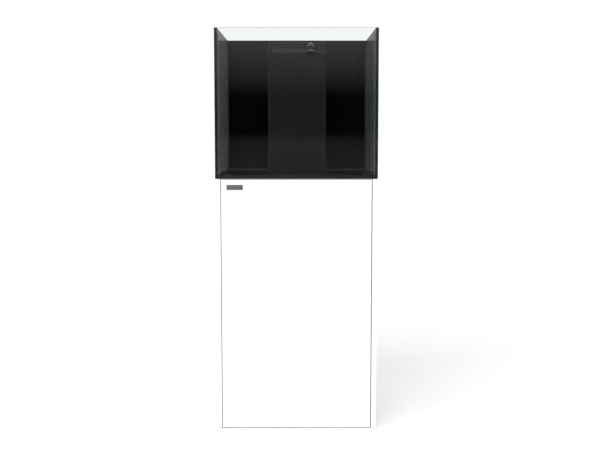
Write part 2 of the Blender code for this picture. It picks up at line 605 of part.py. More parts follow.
def build_spout(riser_top):
    """The bent spout over the weir, the ball socket at its end and the fan nozzle."""
    spout_z = RIM - SPOUT_DROP
    aim = Vector((0.0, -math.cos(SPOUT_DIP), -math.sin(SPOUT_DIP)))
    end_y = WEIR_FRONT - BALL_AHEAD - SOCKET_LENGTH * aim.y
    dip_start = end_y - SPOUT_STUB * aim.y + DIP_BEND * math.sin(SPOUT_DIP)
    path = [(PIPE_Y, riser_top)]
    for step in range(BEND_STEPS + 1):
        angle = step / BEND_STEPS * math.pi / 2
        path.append((PIPE_Y - SPOUT_BEND * (1 - math.cos(angle)),
                     spout_z - SPOUT_BEND * (1 - math.sin(angle))))
    dip_steps = BEND_STEPS // 2
    for step in range(dip_steps + 1):
        angle = step / dip_steps * SPOUT_DIP
        path.append((dip_start - DIP_BEND * math.sin(angle),
                     spout_z - DIP_BEND * (1 - math.cos(angle))))
    path.append((path[-1][0] + SPOUT_STUB * aim.y, path[-1][1] + SPOUT_STUB * aim.z))
    spout = swept_tube("return_spout", path, RETURN_RADIUS, RETURN_BORE, "black_plastic")
    spout.location.x = RETURN_X

    end = Vector((RETURN_X, *path[-1]))
    ball = end + (SOCKET_LENGTH + FIT) * aim
    facing = (math.pi / 2 + SPOUT_DIP, 0.0, 0.0)     # own +Z turned to the nozzle's aim
    cup = BALL_RADIUS + RUNNING
    turned("nozzle_socket",
           [(RETURN_BORE, -SOCKET_LENGTH), (SOCKET_RADIUS, -SOCKET_LENGTH), (SOCKET_RADIUS, 0.0),
            (cup, 0.0), (cup, -cup), (RETURN_BORE, -cup)],
           "black_plastic", place=ball, turn=facing)
    lip = math.sqrt(BALL_RADIUS ** 2 - (RING_LENGTH - RUNNING) ** 2) + 2 * RUNNING
    turned("nozzle_ring",
           [(cup, FIT), (SOCKET_RADIUS, FIT), (SOCKET_RADIUS - RING_LENGTH / 3, RING_LENGTH),
            (lip, RING_LENGTH), (cup, RING_LENGTH / 3)],
           "black_plastic", place=ball, turn=facing)

    steps = 2 * BEND_STEPS
    neck_angle = math.asin(NECK_RADIUS / BALL_RADIUS)
    profile = [(0.0, -BALL_RADIUS)]
    for step in range(1, steps):
        angle = math.pi - step / steps * (math.pi - neck_angle)
        profile.append((BALL_RADIUS * math.sin(angle), BALL_RADIUS * math.cos(angle)))
    tip_foot = BALL_RADIUS + CLEAR
    neck_end = tip_foot + NECK_INSERT
    profile += [(NECK_RADIUS, BALL_RADIUS * math.cos(neck_angle)), (NECK_RADIUS, neck_end), (0.0, neck_end)]
    turned("nozzle_ball", profile, "black_plastic", sides=PIPE_SIDES, place=ball, turn=facing)

    root = 2 * (NECK_RADIUS + RUNNING + MOUTH_WALL)
    tip = fan("return_nozzle", root, root, MOUTH_WIDTH, MOUTH_HEIGHT, tip_foot, NOZZLE_REACH)
    bore_end = neck_end + RUNNING
    bore = NECK_RADIUS + RUNNING
    bore_tool = turned("neck_bore", [(0.0, 0.0), (bore, 0.0), (bore, bore_end), (0.0, bore_end)],
                       sides=PIPE_SIDES)
    throat = fan("nozzle_throat", 2 * bore, 2 * bore, MOUTH_WIDTH - 2 * MOUTH_WALL,
                 MOUTH_HEIGHT - 2 * MOUTH_WALL, bore_end + MOUTH_WALL, NOZZLE_REACH + RUNNING)
    cut(tip, bore_tool, throat)
    tip.data.materials.append(finish("black_plastic"))
    for item in (tip, bore_tool, throat):
        item.location = ball
        item.rotation_euler = facing


def fan(name, neck_width, neck_depth, mouth_width, mouth_depth, low, high):
    """A flat tapering block from a square neck to a wide, thin mouth, along its own Z."""
    data = bmesh.new()
    rings = []
    for width, depth, z in ((neck_width, neck_depth, low), (mouth_width, mouth_depth, high)):
        rings.append([data.verts.new((sx * width / 2, sy * depth / 2, z))
                      for sx, sy in ((-1, -1), (1, -1), (1, 1), (-1, 1))])
    data.faces.new(rings[0])
    data.faces.new(rings[1])
    for step in range(4):
        following = (step + 1) % 4
        data.faces.new((rings[0][step], rings[0][following], rings[1][following], rings[1][step]))
    return make(name, data)


# ---------------------------------------------------------------- cabinet
def build_carcass():
    """Side, top, base and rear boards, and the levelling feet."""
    half = STAND_WIDTH / 2
    between = SIDE_INNER - FIT
    slab("left_side", (-half, STAND_FRONT, FLOOR_GAP), (-SIDE_INNER, STAND_REAR, STAND_HEIGHT),
         "white_lacquer", EDGE)
    slab("right_side", (SIDE_INNER, STAND_FRONT, FLOOR_GAP), (half, STAND_REAR, STAND_HEIGHT),
         "white_lacquer", EDGE)
    notched_board("top_board", between, BOARDS_FRONT, BOARDS_REAR, STAND_HEIGHT - BOARD,
                  STAND_HEIGHT, "white_lacquer")
    base = slab("base_board", (-between, BOARDS_FRONT, FLOOR_GAP), (between, BOARDS_REAR, BASE_TOP),
                "white_lacquer")
    rear = slab("rear_board", (-between, STAND_REAR - REAR_BOARD, FLOOR_GAP),
                (between, STAND_REAR, STAND_HEIGHT), "white_lacquer", EDGE)
    cut(rear, slab("cable_window",
                   (-CABLE_WIDTH / 2, STAND_REAR - 2 * REAR_BOARD, CABLE_MIDDLE - CABLE_HEIGHT / 2),
                   (CABLE_WIDTH / 2, STAND_REAR + REAR_BOARD, CABLE_MIDDLE + CABLE_HEIGHT / 2)))

    stem_top = FLOOR_GAP - RUNNING + FOOT_STEM_LENGTH
    names = ("front_left", "front_right", "rear_left", "rear_right")
    corners = [(x, y) for y in (BOARDS_FRONT + FOOT_INSET, BOARDS_REAR - FOOT_INSET)
               for x in (-between + FOOT_INSET, between - FOOT_INSET)]
    for name, (x, y) in zip(names, corners):
        turned(f"foot_{name}",
               [(0.0, 0.0), (FOOT_RADIUS, 0.0), (FOOT_RADIUS, FLOOR_GAP - RUNNING),
                (FOOT_STEM, FLOOR_GAP - RUNNING), (FOOT_STEM, stem_top), (0.0, stem_top)],
               "black_plastic", sides=PIPE_SIDES, place=(x, y, 0.0))
        cut(base, turned(f"foot_drill_{name}",
                         [(0.0, 0.0), (FOOT_STEM + RUNNING, 0.0),
                          (FOOT_STEM + RUNNING, stem_top + RUNNING), (0.0, stem_top + RUNNING)],
                         sides=ROD_SIDES, place=(x, y, 0.0)))


def build_door():
    """The inset door with its badge and hinge cups, on its axis at the front left edge."""
    door = slab("door", (DOOR_LEFT, STAND_FRONT, DOOR_BOTTOM), (DOOR_RIGHT, DOOR_BACK, DOOR_TOP),
                "white_lacquer", EDGE)
    badge_left = DOOR_LEFT + BADGE_FROM_EDGE
    badge_top = DOOR_TOP - BADGE_FROM_TOP
    badge = slab("door_badge",
                 (badge_left, STAND_FRONT - FIT - BADGE, badge_top - BADGE_HEIGHT),
                 (badge_left + BADGE_WIDTH, STAND_FRONT - FIT, badge_top), "badge_metal", BADGE / 4)

    middle = (DOOR_BOTTOM + DOOR_TOP) / 2
    cup_x = DOOR_LEFT + CUP_FROM_EDGE
    back = DOOR_BACK + FIT
    inside = (-math.pi / 2, 0.0, 0.0)      # own +Z turned towards the inside of the cabinet
    pieces = [door, badge]
    for number, z in enumerate((DOOR_BOTTOM + HINGE_ENDS, middle, DOOR_TOP - HINGE_ENDS), 1):
        bore = CUP_RADIUS - CUP_WALL
        pieces.append(turned(f"hinge_cup_{number}",
                             [(0.0, -CUP_DEPTH), (CUP_RADIUS, -CUP_DEPTH), (CUP_RADIUS, 0.0),
                              (CUP_FLANGE, 0.0), (CUP_FLANGE, CUP_FLANGE_THICK), (bore, CUP_FLANGE_THICK),
                              (bore, CUP_WALL - CUP_DEPTH), (0.0, CUP_WALL - CUP_DEPTH)],
                             "nickel", place=(cup_x, back, z), turn=inside))
        drill = turned(f"cup_drill_{number}",
                       [(0.0, -CUP_DEPTH - FIT), (CUP_RADIUS + FIT, -CUP_DEPTH - FIT),
                        (CUP_RADIUS + FIT, BOARD), (0.0, BOARD)],
                       place=(cup_x, DOOR_BACK, z), turn=inside)
        cut(door, drill)
        pieces.append(drill)
        hinge_arm(number, z)
    pivot("door_axis", (DOOR_LEFT, STAND_FRONT, 0.0), pieces)


def hinge_arm(number, z):
    """The arm of one hinge and its plate on the left side board."""
    face = -SIDE_INNER + FIT
    front = DOOR_BACK + FIT + CUP_FLANGE_THICK + ARM_CLEAR
    rear = DOOR_BACK + ARM_BACK
    arm = slab(f"hinge_arm_{number}", (face + PLATE / 2, front, z - ARM_WIDTH / 2),
               (face + PLATE + ARM_DEPTH, rear, z + ARM_WIDTH / 2), "nickel")
    join(arm, slab(f"arm_plate_{number}", (face, rear - PLATE_LENGTH - CLEAR, z - PLATE_HEIGHT / 2),
                   (face + PLATE, rear - CLEAR, z + PLATE_HEIGHT / 2)))


def build_latch():
    """The push latch under the top board and its plunger, which the door pushes."""
    x = DOOR_RIGHT - LATCH_FROM_EDGE
    ceiling = STAND_HEIGHT - BOARD - FIT
    z = ceiling - LATCH / 2
    body_front = DOOR_BACK + PLUNGER_LENGTH / 3
    body = slab("latch_body", (x - LATCH / 2, body_front, ceiling - LATCH),
                (x + LATCH / 2, body_front + LATCH_LENGTH, ceiling), "white_plastic", EDGE)
    inside = (-math.pi / 2, 0.0, 0.0)
    tip = DOOR_BACK + FIT
    reach = PLUNGER_LENGTH + PLUNGER_TRAVEL + RUNNING
    bore = PLUNGER_RADIUS + RUNNING
    cut(body, turned("latch_bore", [(0.0, 0.0), (bore, 0.0), (bore, reach), (0.0, reach)],
                     sides=ROD_SIDES, place=(x, tip, z), turn=inside))
    turned("latch_plunger",
           [(0.0, 0.0), (PLUNGER_RADIUS - FIT, 0.0), (PLUNGER_RADIUS, FIT), (PLUNGER_RADIUS, PLUNGER_LENGTH),
            (0.0, PLUNGER_LENGTH)],
           "white_plastic", sides=ROD_SIDES, place=(x, tip, z), turn=inside)


# ---------------------------------------------------------------- sump
def build_sump():
    """Bonded glass sump with a baffle, a shelf and its filter cup."""
    low = SUMP_INSIDE + FIT
    inner_left, inner_right = SUMP_LEFT + SUMP_GLASS, SUMP_RIGHT - SUMP_GLASS
    inner_front, inner_rear = SUMP_FRONT + SUMP_GLASS, SUMP_REAR - SUMP_GLASS
    sump = slab("sump_tank", (SUMP_LEFT, SUMP_FRONT, SUMP_FLOOR),
                (SUMP_RIGHT, SUMP_REAR, SUMP_RIM), "clear_glass")
    cut(sump, slab("sump_inside", (inner_left, inner_front, SUMP_INSIDE),
                   (inner_right, inner_rear, SUMP_RIM + BOARD)))
    slab("sump_baffle", (BAFFLE_X - SUMP_GLASS / 2, inner_front + FIT, low),
         (BAFFLE_X + SUMP_GLASS / 2, inner_rear - FIT, low + BAFFLE_HEIGHT), "clear_glass")

    shelf_top = SUMP_RIM - SHELF_DROP
    shelf_right = BAFFLE_X + SUMP_GLASS / 2
    shelf = slab("filter_shelf", (inner_left + FIT, inner_front + FIT, shelf_top - SHELF),
                 (shelf_right, inner_front + SHELF_DEPTH, shelf_top), "black_acrylic")
    cup_x = (inner_left + shelf_right) / 2
    cup_y = inner_front + SHELF_DEPTH / 2
    hole = CUP_BODY_RADIUS + CLEAR
    cut(shelf, turned("shelf_hole", [(0.0, -BOARD), (hole, -BOARD), (hole, BOARD), (0.0, BOARD)],
                      place=(cup_x, cup_y, shelf_top)))
    seat = shelf_top + FIT
    inner = CUP_BODY_RADIUS - CUP_BODY_WALL
    floor = -CUP_BODY_HEIGHT
    turned("filter_cup",
           [(0.0, floor), (CUP_BODY_RADIUS, floor), (CUP_BODY_RADIUS, 0.0), (CUP_BODY_RADIUS + CUP_LIP, 0.0),
            (CUP_BODY_RADIUS + CUP_LIP, CUP_BODY_WALL), (inner, CUP_BODY_WALL),
            (inner, floor + CUP_BODY_WALL), (0.0, floor + CUP_BODY_WALL)],
           "white_plastic", place=(cup_x, cup_y, seat))


def build_lines():
    """The drain valve, the pipe below it, and the return pump under the riser."""
    drain_x, return_x = PIPE_X[0], PIPE_X[2]
    turned("drain_lower_pipe",
           tube_outline(DRAIN_RADIUS, DRAIN_BORE, SUMP_INSIDE + DRAIN_END, VALVE_LOW + VALVE_SOCKET),
           "grey_pvc", sides=PIPE_SIDES, place=(drain_x, PIPE_Y, 0.0))
    socket = DRAIN_RADIUS + FIT
    step_low, step_high = VALVE_LOW + VALVE_SOCKET + FIT, VALVE_HIGH - VALVE_SOCKET - FIT
    valve = turned("drain_valve",
                   [(DRAIN_BORE, step_low), (DRAIN_BORE, step_high), (socket, step_high),
                    (socket, VALVE_HIGH), (VALVE_RADIUS, VALVE_HIGH), (VALVE_RADIUS, VALVE_LOW),
                    (socket, VALVE_LOW), (socket, step_low)],
                   "grey_pvc", place=(drain_x, PIPE_Y, 0.0))
    forward = (math.pi / 2, 0.0, 0.0)        # own +Z turned towards the door
    start = (DRAIN_RADIUS + VALVE_RADIUS) / 2
    join(valve, turned("valve_bonnet",
                       [(0.0, start), (BONNET_RADIUS, start), (BONNET_RADIUS, BONNET_REACH),
                        (0.0, BONNET_REACH)],
                       sides=PIPE_SIDES, place=(drain_x, PIPE_Y, VALVE_Z), turn=forward))
    handle = turned("valve_handle",
                    [(0.0, 0.0), (HUB_RADIUS, 0.0), (HUB_RADIUS, 2 * LEVER), (0.0, 2 * LEVER)],
                    "red_plastic", sides=PIPE_SIDES, turn=forward,
                    place=(drain_x, PIPE_Y - BONNET_REACH - RUNNING, VALVE_Z))
    lever_back = PIPE_Y - BONNET_REACH - RUNNING - LEVER / 2
    join(handle, slab("valve_lever", (drain_x - LEVER_WIDTH / 2, lever_back - LEVER, VALVE_Z),
                      (drain_x + LEVER_WIDTH / 2, lever_back, VALVE_Z + LEVER_LENGTH), edge=EDGE))

    pump_y = PIPE_Y - PUMP_BEHIND
    pump_low = SUMP_INSIDE + FIT
    pump = slab("return_pump", (return_x - PUMP_WIDTH / 2, pump_y - PUMP_DEPTH / 2, pump_low),
                (return_x + PUMP_WIDTH / 2, pump_y + PUMP_DEPTH / 2, PUMP_TOP), "black_plastic", PUMP_EDGE)
    spigot = RETURN_BORE - FIT
    join(pump, turned("pump_spigot",
                      [(0.0, -PUMP_SPIGOT), (spigot, -PUMP_SPIGOT), (spigot, PUMP_SPIGOT),
                       (0.0, PUMP_SPIGOT)],
                      sides=PIPE_SIDES, place=(return_x, PIPE_Y, PUMP_TOP)))


def build_top_up():
    """The fresh-water reservoir with its lid, the feed line and the float valve."""
    left, right = RESERVOIR_LEFT, RESERVOIR_LEFT + RESERVOIR_WIDTH
    front, rear = SUMP_REAR - RESERVOIR_DEPTH, SUMP_REAR
    top = SUMP_FLOOR + RESERVOIR_HEIGHT
    reservoir = slab("topup_reservoir", (left, front, SUMP_FLOOR), (right, rear, top), "white_plastic")
    cut(reservoir, slab("reservoir_inside",
                        (left + RESERVOIR_WALL, front + RESERVOIR_WALL, SUMP_FLOOR + RESERVOIR_WALL),
                        (right - RESERVOIR_WALL, rear - RESERVOIR_WALL, top + BOARD)))
    seat = top + FIT
    lid = slab("reservoir_lid", (left, front, seat), (right, rear, seat + LID), "black_plastic")
    inset = RESERVOIR_WALL + CLEAR
    join(lid, slab("lid_plug", (left + inset, front + inset, seat - LID_LIP),
                   (right - inset, rear - inset, seat + LID / 2)))

    y = (SUMP_FRONT + SUMP_REAR) / 2
    wall = SUMP_RIGHT - SUMP_GLASS - FIT
    line_z = SUMP_RIM + FEED_OVER
    bracket_top = line_z + 2 * FEED_RADIUS
    bracket_foot = bracket_top - BRACKET_HEIGHT
    bracket = slab("float_bracket", (wall - BRACKET, y - BRACKET / 2, bracket_foot),
                   (wall, y + BRACKET / 2, bracket_top), "white_plastic")
    turned("feed_line", tube_outline(FEED_RADIUS, FEED_RADIUS / 2, wall + FIT, left - FIT),
           "white_plastic", sides=ROD_SIDES, place=(0.0, y, line_z), turn=(0.0, math.pi / 2, 0.0))

    axis_x = wall - BRACKET / 2
    axis_z = bracket_foot + BRACKET / 2
    forward = (math.pi / 2, 0.0, 0.0)
    bar_back = y - BRACKET / 2 - RUNNING
    pin_end = BRACKET / 2 + RUNNING + FLOAT_BAR + RUNNING
    join(bracket, turned("float_pin",
                         [(0.0, 0.0), (PIVOT_RADIUS, 0.0), (PIVOT_RADIUS, pin_end), (0.0, pin_end)],
                         sides=ROD_SIDES, place=(axis_x, y, axis_z), turn=forward))
    end_x = axis_x - FLOAT_ARM
    arm = slab("float_arm", (end_x, bar_back - FLOAT_BAR, axis_z - FLOAT_BAR),
               (axis_x + FLOAT_HEEL, bar_back, axis_z + FLOAT_BAR), "black_plastic")
    hole = PIVOT_RADIUS + RUNNING
    cut(arm, turned("float_hole", [(0.0, -BRACKET), (hole, -BRACKET), (hole, BRACKET), (0.0, BRACKET)],
                    sides=ROD_SIDES, place=(axis_x, bar_back, axis_z), turn=forward))
    join(arm, turned("float_body",
                     [(0.0, -FLOAT_HEIGHT), (FLOAT_RADIUS, -FLOAT_HEIGHT), (FLOAT_RADIUS, 0.0), (0.0, 0.0)],
                     sides=PIPE_SIDES, place=(end_x, bar_back - FLOAT_BAR / 2, axis_z)))
    pivot("float_axis", (axis_x, y, axis_z),
          [arm] + [modifier.object for modifier in arm.modifiers])


clear_scene()
build_tank()
build_weir()
build_overflow_pipes()
build_carcass()
build_door()
build_latch()
build_sump()
build_lines()
build_top_up()
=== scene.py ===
"""Looks of a rimless aquarium on a white cabinet stand.

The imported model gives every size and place. Each class below dresses one sub-assembly: it builds
finer surfaces for the pieces that need them and gives every piece its finish. Lengths are metres.
"""

import json
import logging
import math
from dataclasses import dataclass
from enum import Enum
from typing import Callable, Optional, Sequence, Union

import bmesh
import bpy
import numpy as np
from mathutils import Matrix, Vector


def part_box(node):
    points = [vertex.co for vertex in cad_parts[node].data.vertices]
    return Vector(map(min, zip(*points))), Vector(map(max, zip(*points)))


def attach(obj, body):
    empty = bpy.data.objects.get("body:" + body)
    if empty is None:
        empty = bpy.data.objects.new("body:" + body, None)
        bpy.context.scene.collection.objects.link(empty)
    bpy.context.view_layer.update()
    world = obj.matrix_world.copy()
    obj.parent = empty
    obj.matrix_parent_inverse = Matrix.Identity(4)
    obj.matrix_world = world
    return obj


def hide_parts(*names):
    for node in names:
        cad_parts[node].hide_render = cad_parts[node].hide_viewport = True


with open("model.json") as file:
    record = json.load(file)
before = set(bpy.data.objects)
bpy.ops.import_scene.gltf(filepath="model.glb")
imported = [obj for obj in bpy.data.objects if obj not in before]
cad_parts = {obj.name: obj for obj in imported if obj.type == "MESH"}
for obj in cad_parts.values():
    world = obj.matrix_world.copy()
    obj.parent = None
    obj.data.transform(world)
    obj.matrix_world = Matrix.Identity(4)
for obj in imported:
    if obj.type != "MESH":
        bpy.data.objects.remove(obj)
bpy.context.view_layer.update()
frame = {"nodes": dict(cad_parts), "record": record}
BODIES = frame["record"]["behaviour"]["bodies"]
JOINTS = {joint["name"]: joint for joint in frame["record"]["behaviour"]["joints"]}

MM = 0.001
log = logging.getLogger("aquarium")

Array = np.ndarray
Value = Union[float, tuple, bpy.types.NodeSocket]


class Axis(Enum):
    """The direction a turned or extruded piece's own height points in."""

    UP = ((1, 0, 0), (0, 1, 0), (0, 0, 1))
    FRONT = ((1, 0, 0), (0, 0, 1), (0, -1, 0))
    BACK = ((-1, 0, 0), (0, 0, 1), (0, 1, 0))
    RIGHT = ((0, 1, 0), (0, 0, 1), (1, 0, 0))

    def basis(self) -> Array:
        """Return the three directions as the rows of an array."""
        return np.array(self.value, float)


def towards(direction: Sequence[float]) -> Array:
    """Return rows x, y, height with height along a direction that is square to X.

    Args:
        direction: The direction of height, square to X.

    Returns:
        The three directions, as rows.
    """
    height = np.array(direction, float) / np.linalg.norm(direction)
    across = np.array([1.0, 0.0, 0.0])
    return np.array([across, np.cross(height, across), height])


# ---------------------------------------------------------------- surfaces
def linear(hex_colour: str) -> tuple[float, float, float, float]:
    """Turn an sRGB hex colour into the linear values that a shader takes.

    Args:
        hex_colour: Six hex digits with a leading hash.

    Returns:
        Linear red, green and blue, and an alpha of 1.
    """
    channels = np.array([int(hex_colour[i:i + 2], 16) for i in (1, 3, 5)]) / 255
    low, high = channels / 12.92, ((channels + 0.055) / 1.055) ** 2.4
    return (*np.where(channels <= 0.04045, low, high).tolist(), 1.0)


def mesh_piece(name: str, points: Array, faces: Sequence[Array], merge: float = 1e-6,
               smooth_below: float = 35.0) -> bpy.types.Object:
    """Make a closed mesh object from whole arrays.

    Args:
        name: The object's name.
        points: Vertex places, shape (n, 3).
        faces: Arrays of vertex indices, each of shape (count, corners).
        merge: Vertices closer than this become one, so seams and poles close.
        smooth_below: Edges sharper than this many degrees stay hard.

    Returns:
        The new object, at the origin, with its faces turned outwards.
    """
    faces = [block for block in faces if len(block)]
    corners = np.concatenate([block.ravel() for block in faces]).astype(np.int32)
    sizes = np.concatenate([np.full(len(block), block.shape[1]) for block in faces])
    starts = np.concatenate(([0], np.cumsum(sizes)[:-1])).astype(np.int32)
    mesh = bpy.data.meshes.new(name)
    mesh.vertices.add(len(points))
    mesh.vertices.foreach_set("co", np.asarray(points, np.float32).ravel())
    mesh.loops.add(len(corners))
    mesh.loops.foreach_set("vertex_index", corners)
    mesh.polygons.add(len(starts))
    mesh.polygons.foreach_set("loop_start", starts)
    mesh.update(calc_edges=True)
    mesh.validate()
    data = bmesh.new()
    data.from_mesh(mesh)
    bmesh.ops.remove_doubles(data, verts=data.verts, dist=merge)
    bmesh.ops.dissolve_degenerate(data, edges=data.edges, dist=merge / 10)
    loose = [vert for vert in data.verts if not vert.link_faces]
    bmesh.ops.delete(data, geom=loose, context="VERTS")
    bmesh.ops.recalc_face_normals(data, faces=data.faces)
    data.to_mesh(mesh)
    data.free()
    mesh.shade_smooth()
    mesh.set_sharp_from_angle(angle=math.radians(smooth_below))
    piece = bpy.data.objects.new(name, mesh)
    bpy.context.scene.collection.objects.link(piece)
    return piece


def grid_faces(rows: int, columns: int, wrap_rows: bool, wrap_columns: bool) -> Array:
    """Return the quads of a grid of points, row by row.

    Args:
        rows: Number of rows.
        columns: Number of points in a row.
        wrap_rows: Join the last row to the first.
        wrap_columns: Join each row's last point to its first.

    Returns:
        Point numbers, four to a quad.
    """
    row = np.arange(rows if wrap_rows else rows - 1)[:, None]
    column = np.arange(columns if wrap_columns else columns - 1)[None, :]
    next_row, next_column = (row + 1) % rows, (column + 1) % columns
    quads = np.stack(np.broadcast_arrays(row * columns + column, row * columns + next_column,
                                         next_row * columns + next_column, next_row * columns + column), -1)
    return quads.reshape(-1, 4)


def loft(name: str, rings: Array, caps: bool = True, wrap_rows: bool = False,
         smooth_below: float = 35.0) -> bpy.types.Object:
    """Join closed rings of points, in order, into one surface.

    Args:
        name: The object's name.
        rings: Points, shape (rings, points in a ring, 3).
        caps: Close the first and last rings with a flat face.
        wrap_rows: Join the last ring to the first instead, as on a tube with a wall.
        smooth_below: Edges sharper than this many degrees stay hard.

    Returns:
        The new object.
    """
    rows, columns = rings.shape[:2]
    faces = [grid_faces(rows, columns, wrap_rows, True)]
    if caps and not wrap_rows:
        faces += [np.arange(columns)[None, ::-1], ((rows - 1) * columns + np.arange(columns))[None, :]]
    return mesh_piece(name, rings.reshape(-1, 3), faces, smooth_below=smooth_below)


def soften(outline: Sequence[tuple], radius: float, steps: int = 4, closed: bool = True) -> Array:
    """Round the corners of an outline.

    Each corner C becomes a parabolic arc (1-t)^2 A + 2t(1-t) C + t^2 B, whose ends A and B lie
    on the two edges, radius away from C but never past their middles.

    Args:
        outline: Corner points in a plane.
        radius: Distance from the corner at which the arc starts.
        steps: Points along each arc.
        closed: Whether the outline closes on itself. An open one keeps its end points.

    Returns:
        The rounded outline's points.
    """
    corner = np.array(outline, float)
    before, after = np.roll(corner, 1, axis=0), np.roll(corner, -1, axis=0)
    back, on = before - corner, after - corner
    long_back = np.linalg.norm(back, axis=1, keepdims=True)
    long_on = np.linalg.norm(on, axis=1, keepdims=True)
    reach = np.minimum(radius, 0.45 * np.minimum(long_back, long_on))
    start = corner + back / long_back * reach
    stop = corner + on / long_on * reach
    t = np.linspace(0, 1, steps)[None, :, None]
    arcs = (1 - t) ** 2 * start[:, None] + 2 * t * (1 - t) * corner[:, None] + t ** 2 * stop[:, None]
    if closed:
        return arcs.reshape(-1, 2)
    return np.concatenate((corner[:1], arcs[1:-1].reshape(-1, 2), corner[-1:]))


def turned(name: str, profile: Array, centre: Sequence[float], axis: Union[Axis, Array] = Axis.UP,
           sides: int = 64, flutes: int = 0, depth: float = 0.0,
           fluted: Optional[Callable[[Array, Array], Array]] = None,
           closed: bool = True, smooth_below: float = 35.0) -> bpy.types.Object:
    """Turn a profile of (radius, height) points about an axis.

    A point at angle a lies at r(a) = radius - depth * weight * (1 - cos(flutes * a)) / 2 from the
    axis, so fluted rows have evenly spaced grip grooves and the others are round.

    Args:
        name: The object's name.
        profile: A closed section, or an open one that starts and ends on the axis.
        centre: The axis's foot, at height 0.
        axis: The direction of height.
        sides: Points round the axis.
        flutes: Number of grooves.
        depth: Depth of the grooves.
        fluted: Gives each row's weight, from 0 to 1, from its radius and height.
        closed: Whether the profile closes on itself.
        smooth_below: Edges sharper than this many degrees stay hard.

    Returns:
        The new object.
    """
    profile = np.array(profile, float)
    radius, height = profile[:, :1], profile[:, 1:]
    angle = np.linspace(0, 2 * math.pi, sides, endpoint=False)[None, :]
    weight = fluted(radius, height) if fluted else np.zeros_like(radius)
    bent = radius - depth * weight * (1 - np.cos(flutes * angle)) / 2
    rings = np.stack((bent * np.cos(angle), bent * np.sin(angle), np.broadcast_to(height, bent.shape)), -1)
    basis = axis.basis() if isinstance(axis, Axis) else axis
    return loft(name, rings @ basis + np.array(centre, float), caps=False, wrap_rows=closed,
                smooth_below=smooth_below)


def ring_outline(half_x: float, half_y: float, radius: float, steps: int = 6) -> Array:
    """Return a rectangle's outline with round corners, shape (4 * steps, 2).

    Corner k turns through the angles k*90 to k*90+90 degrees about its own centre.

    Args:
        half_x: Half the size along x.
        half_y: Half the size along y.
        radius: Radius of the corners.
        steps: Points in each corner.

    Returns:
        The outline's points, in order.
    """
    radius = min(radius, half_x, half_y)
    angle = (np.arange(4)[:, None] + np.linspace(0, 1, steps)[None, :]) * math.pi / 2
    sign_x = np.array([1, -1, -1, 1])[:, None]
    sign_y = np.array([1, 1, -1, -1])[:, None]
    x = sign_x * (half_x - radius) + radius * np.cos(angle)
    y = sign_y * (half_y - radius) + radius * np.sin(angle)
    return np.stack((x, y), -1).reshape(-1, 2)


def block(name: str, low: Sequence[float], high: Sequence[float], corner: float, edge: float,
          axis: Axis = Axis.UP, steps: int = 6) -> bpy.types.Object:
    """Make a block with round upright corners and softened rims.

    Its rings are rectangles whose inset is edge * (1 - sin a) while their height moves by
    edge * (1 - cos a) from each end.

    Args:
        name: The object's name.
        low: Lowest corner.
        high: Highest corner.
        corner: Radius of the four corners round the axis.
        edge: Radius of the rims at both ends.
        axis: The direction that the corners run in.
        steps: Points in each quarter turn.

    Returns:
        The new object.
    """
    low, high = np.array(low, float), np.array(high, float)
    size = np.abs((high - low) @ axis.basis().T)
    angle = np.linspace(0, math.pi / 2, steps)
    inset = edge * (1 - np.sin(angle))
    lift = edge * (1 - np.cos(angle))
    insets = np.concatenate((inset, inset[::-1]))
    heights = np.concatenate((lift - size[2] / 2, size[2] / 2 - lift[::-1]))
    rings = [np.column_stack((ring_outline(size[0] / 2 - i, size[1] / 2 - i,
                                           max(corner - i, edge / 10), steps),
                              np.full(4 * steps, h))) for i, h in zip(insets, heights)]
    return loft(name, np.array(rings) @ axis.basis() + (low + high) / 2)


def swept(name: str, path: Array, outer: float, inner: float, side: Sequence[float],
          sides: int = 40) -> bpy.types.Object:
    """Carry a pipe's round section along a path.

    Each ring is centre + radius * (cos a * side + sin a * up), where up is the path's direction
    crossed with side, which is square to the plane that the path bends in.

    Args:
        name: The object's name.
        path: Centre points, shape (n, 3).
        outer: Outer radius.
        inner: Bore radius, or 0 for a solid rod.
        side: Unit vector square to the path all along.
        sides: Points round the pipe.

    Returns:
        The new object.
    """
    along = np.gradient(path, axis=0)
    along /= np.linalg.norm(along, axis=1, keepdims=True)
    across = np.broadcast_to(np.array(side, float), along.shape)
    up = np.cross(along, across)
    angle = np.linspace(0, 2 * math.pi, sides, endpoint=False)[None, :, None]
    spokes = np.cos(angle) * across[:, None] + np.sin(angle) * up[:, None]
    rings = path[:, None] + outer * spokes
    if not inner:
        return loft(name, rings)
    bore = (path[:, None] + inner * spokes)[::-1]
    return loft(name, np.concatenate((rings, bore)), wrap_rows=True)


